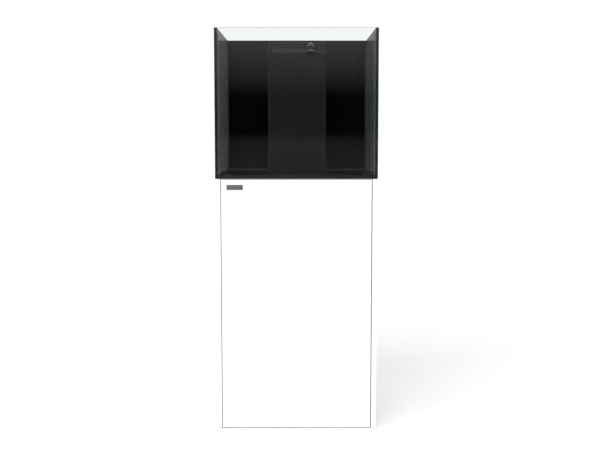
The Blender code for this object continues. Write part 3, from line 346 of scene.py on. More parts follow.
def pierced(name: str, u: Array, v: Array, solid: Array, outer: Callable[[Array, Array], Array],
            inner: Callable[[Array, Array], Array], wrap: bool = False) -> bpy.types.Object:
    """Make a wall with openings from a grid of cells, some solid and some open.

    The wall's two faces are outer(u, v) and inner(u, v) over the solid cells, and a strip joins
    them along every cell edge that has a solid cell on one side only.

    Args:
        name: The object's name.
        u: Cell boundaries along the wall.
        v: Cell boundaries up the wall.
        solid: True for each solid cell, shape (len(u) - 1, len(v) - 1).
        outer: Gives the outer face's points.
        inner: Gives the inner face's points.
        wrap: Whether the wall closes on itself along u.

    Returns:
        The new object.
    """
    grid_u, grid_v = np.meshgrid(u, v, indexing="ij")
    shape = grid_u.shape
    points = np.concatenate((outer(grid_u, grid_v).reshape(-1, 3), inner(grid_u, grid_v).reshape(-1, 3)))
    inside = grid_u.size
    index = np.arange(inside).reshape(shape)
    corners = np.stack((index[:-1, :-1], index[1:, :-1], index[1:, 1:], index[:-1, 1:]), -1)[solid]
    faces = [corners, corners[:, ::-1] + inside]
    before = np.roll(solid, 1, axis=0) if wrap else np.vstack((np.zeros_like(solid[:1]), solid))
    after = solid if wrap else np.vstack((solid, np.zeros_like(solid[:1])))
    i, j = np.nonzero(before[:len(after)] != after)
    start, stop = index[i, j], index[i, j + 1]
    faces.append(np.stack((start, stop, stop + inside, start + inside), -1))
    below = np.hstack((np.zeros_like(solid[:, :1]), solid))
    above = np.hstack((solid, np.zeros_like(solid[:, :1])))
    i, j = np.nonzero(below != above)
    start, stop = index[i, j], index[i + 1, j]
    faces.append(np.stack((start, stop, stop + inside, start + inside), -1))
    return mesh_piece(name, points, faces, smooth_below=30.0)


def pipe(node: str, wall: float, finish: "Finish", axis: Axis = Axis.UP, chamfer: float = 0.8 * MM,
         sides: int = 64) -> bpy.types.Object:
    """Turn a pipe in the place of a packed one, with softened ends.

    Args:
        node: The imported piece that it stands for.
        wall: The pipe's wall.
        finish: Its finish.
        axis: The direction it runs in.
        chamfer: How far the rims are softened.
        sides: Points round it.

    Returns:
        The new object.
    """
    low, high = span(node)
    size = np.abs((high - low) @ axis.basis().T)
    radius = size[:2].min() / 2
    foot = (low + high) / 2 - axis.basis()[2] * size[2] / 2
    profile = soften([(radius - wall, 0), (radius, 0), (radius, size[2]), (radius - wall, size[2])], chamfer)
    return settle(turned(f"{node}_tube", profile, foot, axis, sides), finish, node, [node])


def plate_with_hole(name: str, low: Array, high: Array, centre: Sequence[float], radius: float,
                    corner: float) -> bpy.types.Object:
    """Make a flat plate with a round hole, as four rings: two round its edge and two round the hole.

    Ring point k lies on the rectangle, and on the circle at the same angle from the hole's centre.

    Args:
        name: The object's name.
        low: Lowest corner.
        high: Highest corner.
        centre: The hole's centre in plan.
        radius: The hole's radius.
        corner: Radius of the plate's corners.

    Returns:
        The new object.
    """
    half = (high - low) / 2
    plan = ring_outline(half[0], half[1], corner, 16) + (low + high)[:2] / 2
    sides = np.linspace(0, 1, 12, endpoint=False)[:, None]
    plan = np.concatenate([a + (b - a) * sides for a, b in zip(plan, np.roll(plan, -1, axis=0))
                           if np.linalg.norm(b - a) > corner] or [plan])
    away = plan - np.array(centre, float)[:2]
    hole = np.array(centre, float)[:2] + radius * away / np.linalg.norm(away, axis=1, keepdims=True)
    rings = [np.column_stack((ring, np.full(len(ring), z)))
             for ring, z in ((plan, low[2]), (plan, high[2]), (hole, high[2]), (hole, low[2]))]
    return loft(name, np.array(rings), wrap_rows=True)


def screw(name: str, centre: Sequence[float], axis: Axis, radius: float, height: float) -> bpy.types.Object:
    """Make a pan-head screw with a four-lobed recess.

    The recess's edge lies at radius * (0.20 + 0.35 * max(cos 4a, 0)) at the angle a.

    Args:
        name: The object's name.
        centre: Middle of the head's underside.
        axis: The direction the head looks in.
        radius: The head's radius.
        height: The head's height.

    Returns:
        The new object.
    """
    angle = np.linspace(0, 2 * math.pi, 32, endpoint=False)
    lobes = radius * (0.20 + 0.35 * np.maximum(np.cos(4 * angle), 0))
    rows = [(radius, 0.0), (radius, 0.35), (0.92 * radius, 0.75), (0.68 * radius, 1.0),
            (lobes, 1.0), (lobes, 0.3)]
    rings = [np.column_stack((r * np.cos(angle), r * np.sin(angle), np.full(32, h * height)))
             for r, h in rows]
    return loft(name, np.array(rings) @ axis.basis() + np.array(centre, float))


def bevelled(piece: bpy.types.Object, width: float, segments: int = 2) -> bpy.types.Object:
    """Round a piece's hard edges with a Bevel modifier.

    Args:
        piece: The piece.
        width: Width of each bevel.
        segments: Steps across it.

    Returns:
        The same piece.
    """
    modifier = piece.modifiers.new("rounded_edges", "BEVEL")
    modifier.width = width
    modifier.segments = segments
    modifier.limit_method = "ANGLE"
    modifier.angle_limit = math.radians(40)
    modifier.harden_normals = False
    return piece


def span(node: str) -> tuple[Array, Array]:
    """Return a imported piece's lowest and highest corners."""
    low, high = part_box(node)
    return np.array(low), np.array(high)


def middle(node: str) -> Array:
    """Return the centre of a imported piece's box."""
    low, high = span(node)
    return (low + high) / 2


def owner(node: str) -> str:
    """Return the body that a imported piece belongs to."""
    return next(body for body, nodes in BODIES.items() if node in nodes)


def settle(piece: bpy.types.Object, finish: "Finish", beside: str, stands_for: Sequence[str] = ()) -> bpy.types.Object:
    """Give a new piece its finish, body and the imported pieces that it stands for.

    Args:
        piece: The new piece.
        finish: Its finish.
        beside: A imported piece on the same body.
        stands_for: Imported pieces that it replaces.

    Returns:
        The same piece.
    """
    piece.data.materials.clear()
    piece.data.materials.append(finish.material())
    # Large faces set the normals at their rims, so a flat face shades as flat up to its rounded edge.
    weighted = piece.modifiers.new("face_weighted", "WEIGHTED_NORMAL")
    weighted.keep_sharp = True
    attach(piece, owner(beside))
    if stands_for:
        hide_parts(*stands_for)
    log.info("%s in %s", piece.name, finish.name)
    return piece


def dress(node: str, finish: "Finish") -> None:
    """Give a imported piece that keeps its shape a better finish."""
    for place in frame["nodes"][node].material_slots:
        place.material = finish.material()


# ---------------------------------------------------------------- finishes
def add(tree: bpy.types.NodeTree, kind: str, inputs: Optional[dict[Union[str, int], Value]] = None,
        **settings: object) -> bpy.types.Node:
    """Add a shader node with its settings, socket values and links.

    Args:
        tree: The material's node tree.
        kind: The node's type.
        inputs: Socket name or number, and a value or the output to link to it.
        **settings: The node's own options.

    Returns:
        The new node.
    """
    node = tree.nodes.new(kind)
    for key, value in settings.items():
        setattr(node, key, value)
    for socket, value in (inputs or {}).items():
        if isinstance(value, bpy.types.NodeSocket):
            tree.links.new(value, node.inputs[socket])
        else:
            node.inputs[socket].default_value = value
    return node


@dataclass(frozen=True)
class Finish:
    """A finish: its name, the record slot it belongs to, and how it is shaded."""

    name: str
    slot: str

    def material(self) -> bpy.types.Material:
        """Return this finish's material, made on its first use.

        Returns:
            The material.
        """
        found = bpy.data.materials.get(self.name)
        if found:
            return found
        made = bpy.data.materials.new(self.name)
        made.use_nodes = True
        tree = made.node_tree
        self.shade(tree, tree.nodes["Principled BSDF"])
        return made

    def shade(self, tree: bpy.types.NodeTree, shader: bpy.types.Node) -> None:
        """Set the shader's sockets and patterns."""
        raise NotImplementedError

    def grain(self, tree: bpy.types.NodeTree, size: float, stretch: tuple = (1, 1, 1),
              detail: float = 3.0) -> bpy.types.NodeSocket:
        """Return a noise of the given grain size in metres, on the piece's own coordinates.

        Args:
            tree: The material's node tree.
            size: Size of one grain.
            stretch: Scale along X, Y and Z, below 1 to draw the grain out.
            detail: Number of finer octaves.

        Returns:
            The noise's output.
        """
        place = add(tree, "ShaderNodeTexCoord").outputs["Object"]
        scaled = add(tree, "ShaderNodeMapping", {"Vector": place, "Scale": stretch}).outputs[0]
        noise = {"Vector": scaled, "Scale": 1 / size, "Detail": detail}
        return add(tree, "ShaderNodeTexNoise", noise).outputs[0]

    def relief(self, tree: bpy.types.NodeTree, shader: bpy.types.Node, height: bpy.types.NodeSocket,
               depth: float) -> None:
        """Press a pattern into the surface, depth metres deep."""
        bump = add(tree, "ShaderNodeBump", {"Height": height, "Distance": depth, "Strength": 1.0})
        tree.links.new(bump.outputs[0], shader.inputs["Normal"])

    def between(self, tree: bpy.types.NodeTree, pattern: bpy.types.NodeSocket, low: Value, high: Value,
                start: float = 0.35, stop: float = 0.65) -> bpy.types.NodeSocket:
        """Return values from low to high as a pattern goes from start to stop.

        Args:
            tree: The material's node tree.
            pattern: A noise or wave.
            low: A number, or a linear colour.
            high: The same kind as low.
            start: The pattern value that gives low.
            stop: The pattern value that gives high.

        Returns:
            The output that carries those values.
        """
        if isinstance(low, tuple):
            share = add(tree, "ShaderNodeMapRange", {"Value": pattern, "From Min": start, "From Max": stop})
            mix = add(tree, "ShaderNodeMix", {0: share.outputs[0], 6: low, 7: high}, data_type="RGBA")
            return mix.outputs[2]
        ranged = {"Value": pattern, "From Min": start, "From Max": stop, "To Min": low, "To Max": high}
        return add(tree, "ShaderNodeMapRange", ranged).outputs[0]


@dataclass(frozen=True)
class FloatGlass(Finish):
    """Low-iron float glass: clear face on, and a deep blue-green where it is looked along, part its real tint and part
    painted shade.
    """

    name: str = "low_iron_float_glass"
    slot: str = "clear_glass"
    tint: str = "#f7fbfa"
    grazing_tint_with_painted_shade: str = "#3d4648"       # seen along the pane: the real tint of a long path through it, darkened further as painted shade
    shade_tint: str = "#e4eeeb"
    mark_size: float = 60 * MM      # a wiped smear is about a hand wide

    def shade(self, tree: bpy.types.NodeTree, shader: bpy.types.Node) -> None:
        """Bend light as glass does, and let lamps through to what is inside.

        Args:
            tree: The material's node tree.
            shader: Its shader node.
        """
        # Looked along, the pane turns a dark blue-grey: part the glass's own tint, part painted shade that darkens the
        # side panes.
        along = add(tree, "ShaderNodeLayerWeight", {"Blend": 0.5}).outputs["Facing"]
        tint = self.between(tree, along, linear(self.tint), linear(self.grazing_tint_with_painted_shade), 0.80, 0.93)
        tree.links.new(tint, shader.inputs["Base Color"])
        shader.inputs["Transmission Weight"].default_value = 1.0
        shader.inputs["IOR"].default_value = 1.51
        smears = self.grain(tree, self.mark_size)
        tree.links.new(self.between(tree, smears, 0.0, 0.012), shader.inputs["Roughness"])
        clear = add(tree, "ShaderNodeBsdfTransparent", {"Color": linear(self.shade_tint)})
        ray = add(tree, "ShaderNodeLightPath")
        both = add(tree, "ShaderNodeMixShader", {0: ray.outputs["Is Shadow Ray"], 1: shader.outputs[0],
                                                 2: clear.outputs[0]})
        tree.links.new(both.outputs[0], tree.nodes["Material Output"].inputs["Surface"])


@dataclass(frozen=True)
class Solid(Finish):
    """An opaque finish with a fine relief, and a slow drift of colour and gloss."""

    colour: str = "#808080"
    drift: str = "#8a8a8a"
    rough: tuple[float, float] = (0.35, 0.45)
    metallic: float = 0.0
    ior: float = 1.46
    grain_size: float = 1.0 * MM
    grain_depth: float = 0.01 * MM
    stretch: tuple[float, float, float] = (1.0, 1.0, 1.0)
    drift_size: float = 80 * MM
    coat: float = 0.0
    passes_light: float = 0.0
    sheen: float = 0.0

    def shade(self, tree: bpy.types.NodeTree, shader: bpy.types.Node) -> None:
        """Set the plain sockets, then the drift, the gloss and the relief.

        Args:
            tree: The material's node tree.
            shader: Its shader node.
        """
        wander = self.grain(tree, self.drift_size)
        colour = self.between(tree, wander, linear(self.colour), linear(self.drift))
        tree.links.new(colour, shader.inputs["Base Color"])
        fine = self.grain(tree, self.grain_size, self.stretch)
        tree.links.new(self.between(tree, fine, *self.rough), shader.inputs["Roughness"])
        shader.inputs["Metallic"].default_value = self.metallic
        if not self.metallic:
            shader.inputs["IOR"].default_value = self.ior
        shader.inputs["Coat Weight"].default_value = self.coat
        shader.inputs["Coat Roughness"].default_value = 0.12
        shader.inputs["Transmission Weight"].default_value = self.passes_light
        shader.inputs["Sheen Weight"].default_value = self.sheen
        self.relief(tree, shader, fine, self.grain_depth)


GLASS = FloatGlass()
# Glass sprayed black on its outer face: a deep black with the mirror of polished glass.
BACKED_GLASS = Solid("black_backed_glass", "black_glass", "#020303", "#040404", (0.02, 0.05), ior=1.51,
                     grain_size=40 * MM, grain_depth=0.0)
# Clear acetoxy silicone, drawn with a wet finger: grey-green, glossy, faintly rippled.
SILICONE = Solid("translucent_silicone", "silicone", "#7b8383", "#838b8b", (0.10, 0.18), ior=1.41,
                 grain_size=12 * MM, grain_depth=0.02 * MM, passes_light=1.0)
# Black structural silicone in the joints: what makes the tank's edges read as dark lines.
BOND = Solid("black_bonding_silicone", "silicone", "#030303", "#050505", (0.55, 0.68), ior=1.41,
             grain_size=8 * MM, grain_depth=0.02 * MM)
# Closed-cell rubber foam: dead black, with bubbles about half a millimetre across.
FOAM = Solid("black_cell_foam", "foam", "#151516", "#1d1d1e", (0.85, 0.98), grain_size=0.6 * MM,
             grain_depth=0.15 * MM)
# Bent and polished acrylic sheet: black, satin, almost without grain.
ACRYLIC = Solid("black_satin_acrylic", "black_acrylic", "#0b0c0c", "#101111", (0.16, 0.22), ior=1.49,
                grain_size=2.5 * MM, grain_depth=0.004 * MM)
# Routed acrylic comb: its cut teeth are duller and paler than the polished box below.
ROUTED = Solid("routed_black_acrylic", "black_acrylic", "#1c1e1e", "#222424", (0.34, 0.44), ior=1.49,
               grain_size=1.5 * MM, grain_depth=0.01 * MM)
# Polished black ABS of the ball-and-socket fittings: near black, with small sharp highlights.
ABS_GLOSS = Solid("polished_black_abs", "black_plastic", "#040505", "#070808", (0.16, 0.22), ior=1.50,
                  grain_size=0.8 * MM, grain_depth=0.006 * MM)
# Moulded ABS, spark-eroded mould texture: grains a third of a millimetre wide.
ABS_BLACK = Solid("black_moulded_abs", "black_plastic", "#0f1011", "#151617", (0.26, 0.36), ior=1.53,
                  grain_size=0.5 * MM, grain_depth=0.02 * MM)
# Extruded PVC pipe: grey, with faint draw lines along its length.
PVC = Solid("grey_extruded_pvc", "grey_pvc", "#62676b", "#6b7074", (0.34, 0.46), ior=1.53,
            grain_size=1.2 * MM, grain_depth=0.02 * MM, stretch=(1.0, 1.0, 0.04))
# Sprayed two-coat lacquer on fibreboard: white satin, with an orange peel 4 mm across.
LACQUER = Solid("white_satin_lacquer", "white_lacquer", "#f6f6f4", "#f9f9f8", (0.30, 0.40), ior=1.50,
                grain_size=4 * MM, grain_depth=0.012 * MM, drift_size=300 * MM)
# Rolled aluminium brushed along its length: lines a fifth of a millimetre wide.
BRUSHED = Solid("brushed_aluminium", "badge_metal", "#696b6e", "#727477", (0.34, 0.50), 1.0,
                grain_size=0.5 * MM, grain_depth=0.01 * MM, stretch=(0.03, 1.0, 1.0), drift_size=20 * MM)
# The same sheet with a brighter, finer brushing.
BRUSHED_PALE = Solid("pale_brushed_aluminium", "badge_metal", "#76787b", "#7e8083", (0.38, 0.52), 1.0,
                     grain_size=0.5 * MM, grain_depth=0.008 * MM, stretch=(0.03, 1.0, 1.0),
                     drift_size=20 * MM)
# Nickel plate on pressed steel: warm, bright, with a trace of rolling grain.
NICKEL = Solid("nickel_plated_steel", "nickel", "#cfccc6", "#bdbab4", (0.16, 0.30), 1.0,
               grain_size=1.5 * MM, grain_depth=0.006 * MM, drift_size=15 * MM)
# Moulded polypropylene in a warning red, slightly waxy.
RED = Solid("red_moulded_polypropylene", "red_plastic", "#b0221b", "#a51d18", (0.36, 0.48), ior=1.49,
            grain_size=0.6 * MM, grain_depth=0.02 * MM)
# Natural polyethylene: milky, lets some light through.
POLYETHYLENE = Solid("natural_polyethylene", "white_plastic", "#eceeec", "#e2e5e3", (0.38, 0.50), ior=1.51,
                     grain_size=3 * MM, grain_depth=0.03 * MM, passes_light=0.25)
# Moulded white ABS for the small fittings.
ABS_WHITE = Solid("white_moulded_abs", "white_plastic", "#e4e5e3", "#dcdddb", (0.36, 0.48), ior=1.53,
                  grain_size=0.5 * MM, grain_depth=0.02 * MM)
# Matt white paper sweep: no sheen, so that only the soft shadow shows.
FLOOR = Solid("studio_floor", "white_lacquer", "#fcfcfc", "#fdfdfd", (0.85, 0.95), ior=1.2,
              grain_size=20 * MM, grain_depth=0.0)


# ---------------------------------------------------------------- tank
@dataclass
class Tank:
    """Five panes with silicone in their inside corners, on a foam mat."""

    leg: float = 5 * MM             # of the silicone fillets
    gap: float = 0.3 * MM
    arris: float = 0.3 * MM         # the polished edges of the upright panes
    bed_gap: float = 0.05 * MM

    def build(self) -> None:
        """Grind the upright clear panes, dress the others and the mat, and lay the silicone."""
        for node in ("front_pane", "left_pane", "right_pane"):
            # Two points to a corner make a flat arris, whose edges stay hard, so the faces stay true.
            sheet = block(f"{node}_sheet", *span(node), self.arris, self.arris, steps=2)
            settle(sheet, GLASS, node, [node])
        dress("bottom_pane", GLASS)
        dress("rear_pane", BACKED_GLASS)
        dress("levelling_mat", FOAM)
        self.fillets()
        self.bonds()

    def fillets(self) -> None:
        """Lay hollow-faced fillets up the corners and along the floor, as one piece.

        A fillet's section has its corner at the panes' joint, and its face is the quarter circle
        leg * (1 - cos a, 1 - sin a), which a wetted finger leaves.
        """
        low, high = span("corner_seal")
        angle = np.linspace(0, math.pi / 2, 7)
        face = self.leg * np.column_stack((1 - np.cos(angle), 1 - np.sin(angle)))[::-1]
        section = np.concatenate(([[0.0, 0.0]], face))
        weir_low, weir_high = span("overflow_box")
        data = []
        top = high[2]
        for x, sx in ((low[0], 1), (high[0], -1)):
            for y, sy in ((low[1], 1), (high[1], -1)):
                ring = np.column_stack((x + sx * section[:, 0], y + sy * section[:, 1],
                                        np.zeros(len(section))))
                data.append((ring + [0, 0, low[2]], ring + [0, 0, top]))
        runs = [((low[0], low[1]), (high[0], low[1]), (0, 1)), ((low[0], low[1]), (low[0], high[1]), (1, 0)),
                ((high[0], low[1]), (high[0], high[1]), (-1, 0)),
                ((low[0], high[1]), (weir_low[0] - self.gap, high[1]), (0, -1)),
                ((weir_high[0] + self.gap, high[1]), (high[0], high[1]), (0, -1))]
        for start, stop, inward in runs:
            push = np.column_stack((section[:, :1] * np.array(inward), section[:, 1]))
            data.append((push + [*start, low[2]], push + [*stop, low[2]]))
        for number, ends in enumerate(data, 1):
            seam = loft(f"silicone_fillet_{number}", np.array(ends))
            at_rear = ends[0][0][1] > 0 and ends[1][0][1] > 0
            finish = BOND if at_rear else SILICONE
            settle(seam, finish, "corner_seal", ["corner_seal"] if number == 1 else ())

    def bonds(self) -> None:
        """Fill the joints between the panes: a bed behind the front pane, one before the rear pane."""
        left, right, floor = span("left_pane"), span("right_pane"), span("bottom_pane")
        front, rear = span("front_pane")[1][1], span("rear_pane")[0][1]
        low, high = left[0][2] + self.arris, left[1][2] - self.arris
        for place, pane_y, bed_y in (("front", front, left[0][1]), ("rear", rear, left[1][1])):
            near, far = sorted((pane_y, bed_y))
            near, far = near + self.bed_gap, far - self.bed_gap
            for side, (inner, outer) in (("left", (left[0][0] + self.bed_gap, left[1][0])),
                                         ("right", (right[0][0], right[1][0] - self.bed_gap))):
                bed = block(f"bond_{place}_{side}", (inner, near, low), (outer, far, high),
                            self.bed_gap, self.bed_gap / 2)
                settle(bed, BOND, "front_pane")
            bed = block(f"bond_{place}_floor", (left[1][0] + self.gap, near, low),
                        (right[0][0] - self.gap, far, floor[1][2] - self.arris),
                        self.bed_gap, self.bed_gap / 2)
            settle(bed, BOND, "front_pane")


# ---------------------------------------------------------------- overflow
@dataclass
class Weir:
    """The U-shaped black box against the rear pane and the comb that stands on it."""

    wall: float = 4 * MM
    radius: float = 20 * MM
    rail: float = 3 * MM
    pitch: float = 8 * MM
    slot: float = 4 * MM
    short: float = 24 * MM
    long: float = 36 * MM
    long_run: float = 45 * MM       # the slots stay long this far from the box's sides
    edge: float = 0.5 * MM

    def build(self) -> None:
        """Build the box and the comb."""
        low, high = span("overflow_box")
        self.width, self.back, self.front = high[0] - low[0], high[1], low[1]
        stations = self.stations(12)
        box = pierced("weir_box", stations, np.array([low[2], high[2]]),
                      np.ones((len(stations) - 1, 1), bool), self.face(0.0), self.face(self.wall))
        settle(bevelled(box, self.edge), ACRYLIC, "overflow_box", ["overflow_box"])
        self.comb()

    def length(self) -> float:
        """Return the length of the U's outer face, along its three sides and two corners."""
        depth = self.back - self.front - self.radius
        return 2 * depth + math.pi * self.radius + self.width - 2 * self.radius

    def stations(self, steps: int) -> Array:
        """Return distances along the U where its sides meet its corners, and steps between.

        Args:
            steps: Points along each corner.

        Returns:
            Distances, from 0 to the U's whole length.
        """
        depth = self.back - self.front - self.radius
        turn = math.pi / 2 * self.radius
        total = self.length()
        return np.concatenate(([0.0], depth + np.linspace(0, turn, steps),
                               total - depth - turn + np.linspace(0, turn, steps), [total]))

    def face(self, inset: float) -> Callable[[Array, Array], Array]:
        """Return the U-shaped face that lies inset inside the outer one, as a function.

        A distance s along the U is on the left side until its corner, then on the corner at the
        angle (s - depth) / radius, then on the front, and so on; z is the height.

        Args:
            inset: How far inside the outer face.

        Returns:
            A function of the distance s and the height z that gives points.
        """
        depth = self.back - self.front - self.radius
        turn = math.pi / 2 * self.radius
        half = self.width / 2
        total = self.length()

        def point(s: Array, z: Array) -> Array:
            """Return the points at distance s and height z.

            Args:
                s: Distance along the U.
                z: Height.

            Returns:
                Points, with x, y and z last.
            """
            near = np.minimum(s, total - s)
            side = np.where(s <= total / 2, -1.0, 1.0)
            angle = np.clip((near - depth) / self.radius, 0, math.pi / 2)
            radius = self.radius - inset
            straight = np.maximum(near - depth - turn, 0)
            x = half - self.radius + radius * np.cos(angle) - straight
            y = self.back - np.minimum(near, depth) - radius * np.sin(angle)
            return np.stack((side * x, y, z), -1)
        return point

    def comb(self) -> None:
        """Cut the comb's slots: long ones near both sides, short ones between, and the notch."""
        low, high = span("weir_comb")
        skirt_top = span("overflow_box")[1][2] + 0.3 * MM
        spout_low, spout_high = span("return_spout")
        total = self.length()
        count = int((total - 2 * self.pitch) / self.pitch)
        middles = total / 2 + (np.arange(count) - (count - 1) / 2) * self.pitch
        x_middle = self.face(0.0)(middles, middles)[:, 0]
        on_front = self.face(0.0)(middles, middles)[:, 1] < self.front + 0.5 * MM
        clearance = 1.5 * MM
        in_notch = on_front & (x_middle > spout_low[0] - clearance - self.slot) \
            & (x_middle < spout_high[0] + clearance + self.slot)
        middles = middles[~in_notch]
        from_corner = np.minimum(middles, total - middles) - (self.back - self.front)
        near_side = np.abs(from_corner) < self.long_run / 2
        half_front = total / 2
        notch = half_front + np.array([spout_low[0] - clearance, spout_high[0] + clearance])
        cuts = np.concatenate((middles - self.slot / 2, middles + self.slot / 2, notch))
        # A cell narrower than two bevels would fold over itself, so such corner steps are left out.
        steps = self.stations(12)
        roomy = np.abs(steps[:, None] - cuts[None, :]).min(axis=1) > 2.2 * self.edge
        u = np.unique(np.round(np.concatenate((steps[roomy | (steps == 0) | (steps == total)], cuts)), 6))
        heights = np.array([skirt_top, high[2] - self.rail - self.long, high[2] - self.rail - self.short,
                            high[2] - self.rail - self.short + 6 * MM, high[2] - self.rail, high[2]])
        cell = (u[:-1] + u[1:]) / 2
        gap = np.abs(cell[:, None] - middles[None, :])
        nearest = gap.argmin(axis=1)
        open_here = gap.min(axis=1) < self.slot / 2
        is_long = near_side[nearest]
        solid = np.ones((len(cell), len(heights) - 1), bool)
        solid[open_here & is_long, 1:4] = False
        solid[open_here & ~is_long, 2:4] = False
        in_mouth = (cell > notch[0]) & (cell < notch[1])
        solid[in_mouth, 2:] = False
        comb = pierced("weir_comb_teeth", u, heights, solid, self.face(0.0), self.face(self.wall))
        settle(bevelled(comb, self.edge), ROUTED, "weir_comb", ["weir_comb"])
        stations = self.stations(12)
        tongue = pierced("weir_comb_tongue", stations, np.array([low[2], skirt_top + self.rail]),
                         np.ones((len(stations) - 1, 1), bool), self.face(self.wall + 0.3 * MM),
                         self.face(self.wall + 2.8 * MM))
        settle(tongue, ACRYLIC, "weir_comb")


# ---------------------------------------------------------------- pipes and fittings
@dataclass
class Plumbing:
    """The fittings in the tank floor, the pipes through them, and the return's nozzle."""

    wall: float = 2.5 * MM
    return_wall: float = 3 * MM
    thread: float = 2.4 * MM        # pitch of the fittings' threads
    flange: float = 6 * MM
    slots: int = 24                 # round the strainer
    bend: float = 22 * MM
    dip_bend: float = 30 * MM
    stub: float = 2 * MM
    socket: float = 19.3 * MM       # from the spout's end to the middle of the ball
    mouth: tuple[float, float] = (21.2 * MM, 5.8 * MM)
    tip_from: float = 12.4 * MM
    tip_to: float = 35.9 * MM

    def build(self) -> None:
        """Build the fittings, then the pipes, then the spout and its nozzle."""
        for number in (1, 2, 3):
            self.bulkhead(number)
        for node, wall in (("drain_standpipe", self.wall), ("emergency_pipe", self.wall),
                           ("drain_lower_pipe", self.wall), ("return_riser", self.return_wall)):
            pipe(node, wall, PVC)
        self.coupling()
        self.strainer()
        self.ball = np.array(JOINTS["nozzle_turn"]["pos_m"], float)
        self.aim = towards(JOINTS["nozzle_turn"]["axis"])
        self.spout()
        self.nozzle()

    def bulkhead(self, number: int) -> None:
        """Build one threaded fitting and its grip nut.

        The thread is a row of grooves of radius - depth * (1 - |cos|), a pitch apart.

        Args:
            number: The number in its node's name.
        """
        node, nut = f"bulkhead_{number}", f"bulkhead_nut_{number}"
        low, high = span(node)
        flange = (high[0] - low[0]) / 2
        height = high[2] - low[2]
        barrel = (span(nut)[1][0] - span(nut)[0][0]) / 2 - 7 * MM
        bore = (span(("drain_standpipe", "emergency_pipe", "return_riser")[number - 1])[1]
                - middle(("drain_standpipe", "emergency_pipe", "return_riser")[number - 1]))[0] + 0.3 * MM
        shoulder = height - self.flange
        turns = np.linspace(1 * MM, shoulder - 14 * MM, 61)
        grooves = barrel - 0.9 * MM * np.abs(np.sin(math.pi * turns / self.thread))
        thread = np.column_stack((grooves, turns))
        head = soften([(barrel, shoulder), (flange, shoulder), (flange, height), (bore, height)], 1.2 * MM,
                      closed=False)
        profile = np.concatenate(([(bore, 0.0), (barrel - 0.9 * MM, 0.0)], thread,
                                  [(barrel, shoulder - 13 * MM)], head))
        fitting = turned(f"{node}_fitting", profile, (*middle(node)[:2], low[2]), sides=72, flutes=12,
                         depth=0.8 * MM,
                         fluted=lambda r, h: ((r > flange - 0.5 * MM) & (h > shoulder)) * 1.0)
        settle(fitting, ABS_BLACK, node, [node])
        low, high = span(nut)
        radius, height = (high[0] - low[0]) / 2, high[2] - low[2]
        hole = barrel + 0.3 * MM
        profile = soften([(hole, 0), (radius, 0), (radius, height), (hole, height)], 1.0 * MM)
        grip = turned(f"{nut}_grip", profile, (*middle(nut)[:2], low[2]), sides=96, flutes=8, depth=2.2 * MM,
                      fluted=lambda r, h: (r > radius - 1.2 * MM) * 1.0)
        settle(grip, ABS_BLACK, nut, [nut])

    def coupling(self) -> None:
        """Build the sleeve over the riser's joint, with a thicker rim at both ends."""
        low, high = span("riser_coupling")
        radius, height = (high[0] - low[0]) / 2, high[2] - low[2]
        bore = radius - self.return_wall
        waist = radius - 1 * MM
        rim = 6 * MM
        outside = [(bore, 0), (radius, 0), (radius, rim), (waist, rim + MM), (waist, height - rim - MM),
                   (radius, height - rim), (radius, height), (bore, height)]
        sleeve = turned("riser_coupling_sleeve", soften(outside, 0.8 * MM),
                        (*middle("riser_coupling")[:2], low[2]))
        settle(sleeve, ABS_BLACK, "riser_coupling", ["riser_coupling"])

    def strainer(self) -> None:
        """Build the strainer: a slotted wall under a domed cap.

        At the distance v up its outline the wall has a constant radius, and over the dome the
        radius falls as cos a while the height rises as sin a.
        """
        low, high = span("drain_strainer")
        radius, dome = (high[0] - low[0]) / 2, 7 * MM
        straight = high[2] - low[2] - dome
        collar, top_band = 16 * MM, 3 * MM
        centre = np.array([*middle("drain_strainer")[:2], low[2]])

        def shell(inset: float) -> Callable[[Array, Array], Array]:
            """Return the surface that lies inset inside the outer one.

            Args:
                inset: How far inside the outer one.

            Returns:
                A function of the angle u and the distance v that gives points.
            """
            def point(u: Array, v: Array) -> Array:
                """Return points at the angle u and the distance v.

                Args:
                    u: Angle round the axis.
                    v: Height up to the dome, then 0 to 1 more over it.

                Returns:
                    Points, with x, y and z last.
                """
                turn = np.clip(v - straight, 0, 1) * math.pi / 2
                r = (radius - inset) * np.cos(turn)
                z = np.minimum(v, straight) + (dome - inset) * np.sin(turn)
                return np.stack((r * np.cos(u), r * np.sin(u), z), -1) + centre
            return point

        u = np.linspace(0, 2 * math.pi, 3 * self.slots + 1)[:-1]
        u = np.append(u, 2 * math.pi)
        v = np.concatenate(([0.0, collar, straight - top_band, straight],
                            straight + np.linspace(0, 1, 9)[1:]))
        solid = np.ones((len(u) - 1, len(v) - 1), bool)
        solid[::3, 1] = False
        basket = pierced("drain_strainer_basket", u, v, solid, shell(0.0), shell(2.5 * MM), wrap=True)
        settle(basket, ABS_BLACK, "drain_strainer", ["drain_strainer"])

    def spout(self) -> None:
        """Sweep the spout: up, round a quarter turn, level, then down towards the nozzle's aim."""
        low = span("return_spout")[0]
        x, y = middle("return_riser")[:2]
        aim = self.aim[2]
        dip = math.asin(-aim[2])
        end = self.ball - self.socket * aim
        knee = end - self.stub * aim
        level = knee[2] + self.dip_bend * (1 - math.cos(dip))
        turn = np.linspace(0, math.pi / 2, 16)
        rise = np.column_stack((y - self.bend * (1 - np.cos(turn)), level - self.bend * (1 - np.sin(turn))))
        fall = np.linspace(0, dip, 9)
        start = knee[1] + self.dip_bend * math.sin(dip)
        drop = np.column_stack((start - self.dip_bend * np.sin(fall),
                                level - self.dip_bend * (1 - np.cos(fall))))
        route = np.concatenate(([(y, low[2])], rise, drop, [end[1:]]))
        path = np.column_stack((np.full(len(route), x), route))
        outer = (span("return_riser")[1] - middle("return_riser"))[0]
        tube = swept("return_spout_bend", path, outer, outer - self.return_wall, (1, 0, 0), 56)
        settle(tube, ABS_GLOSS, "return_spout", ["return_spout"])

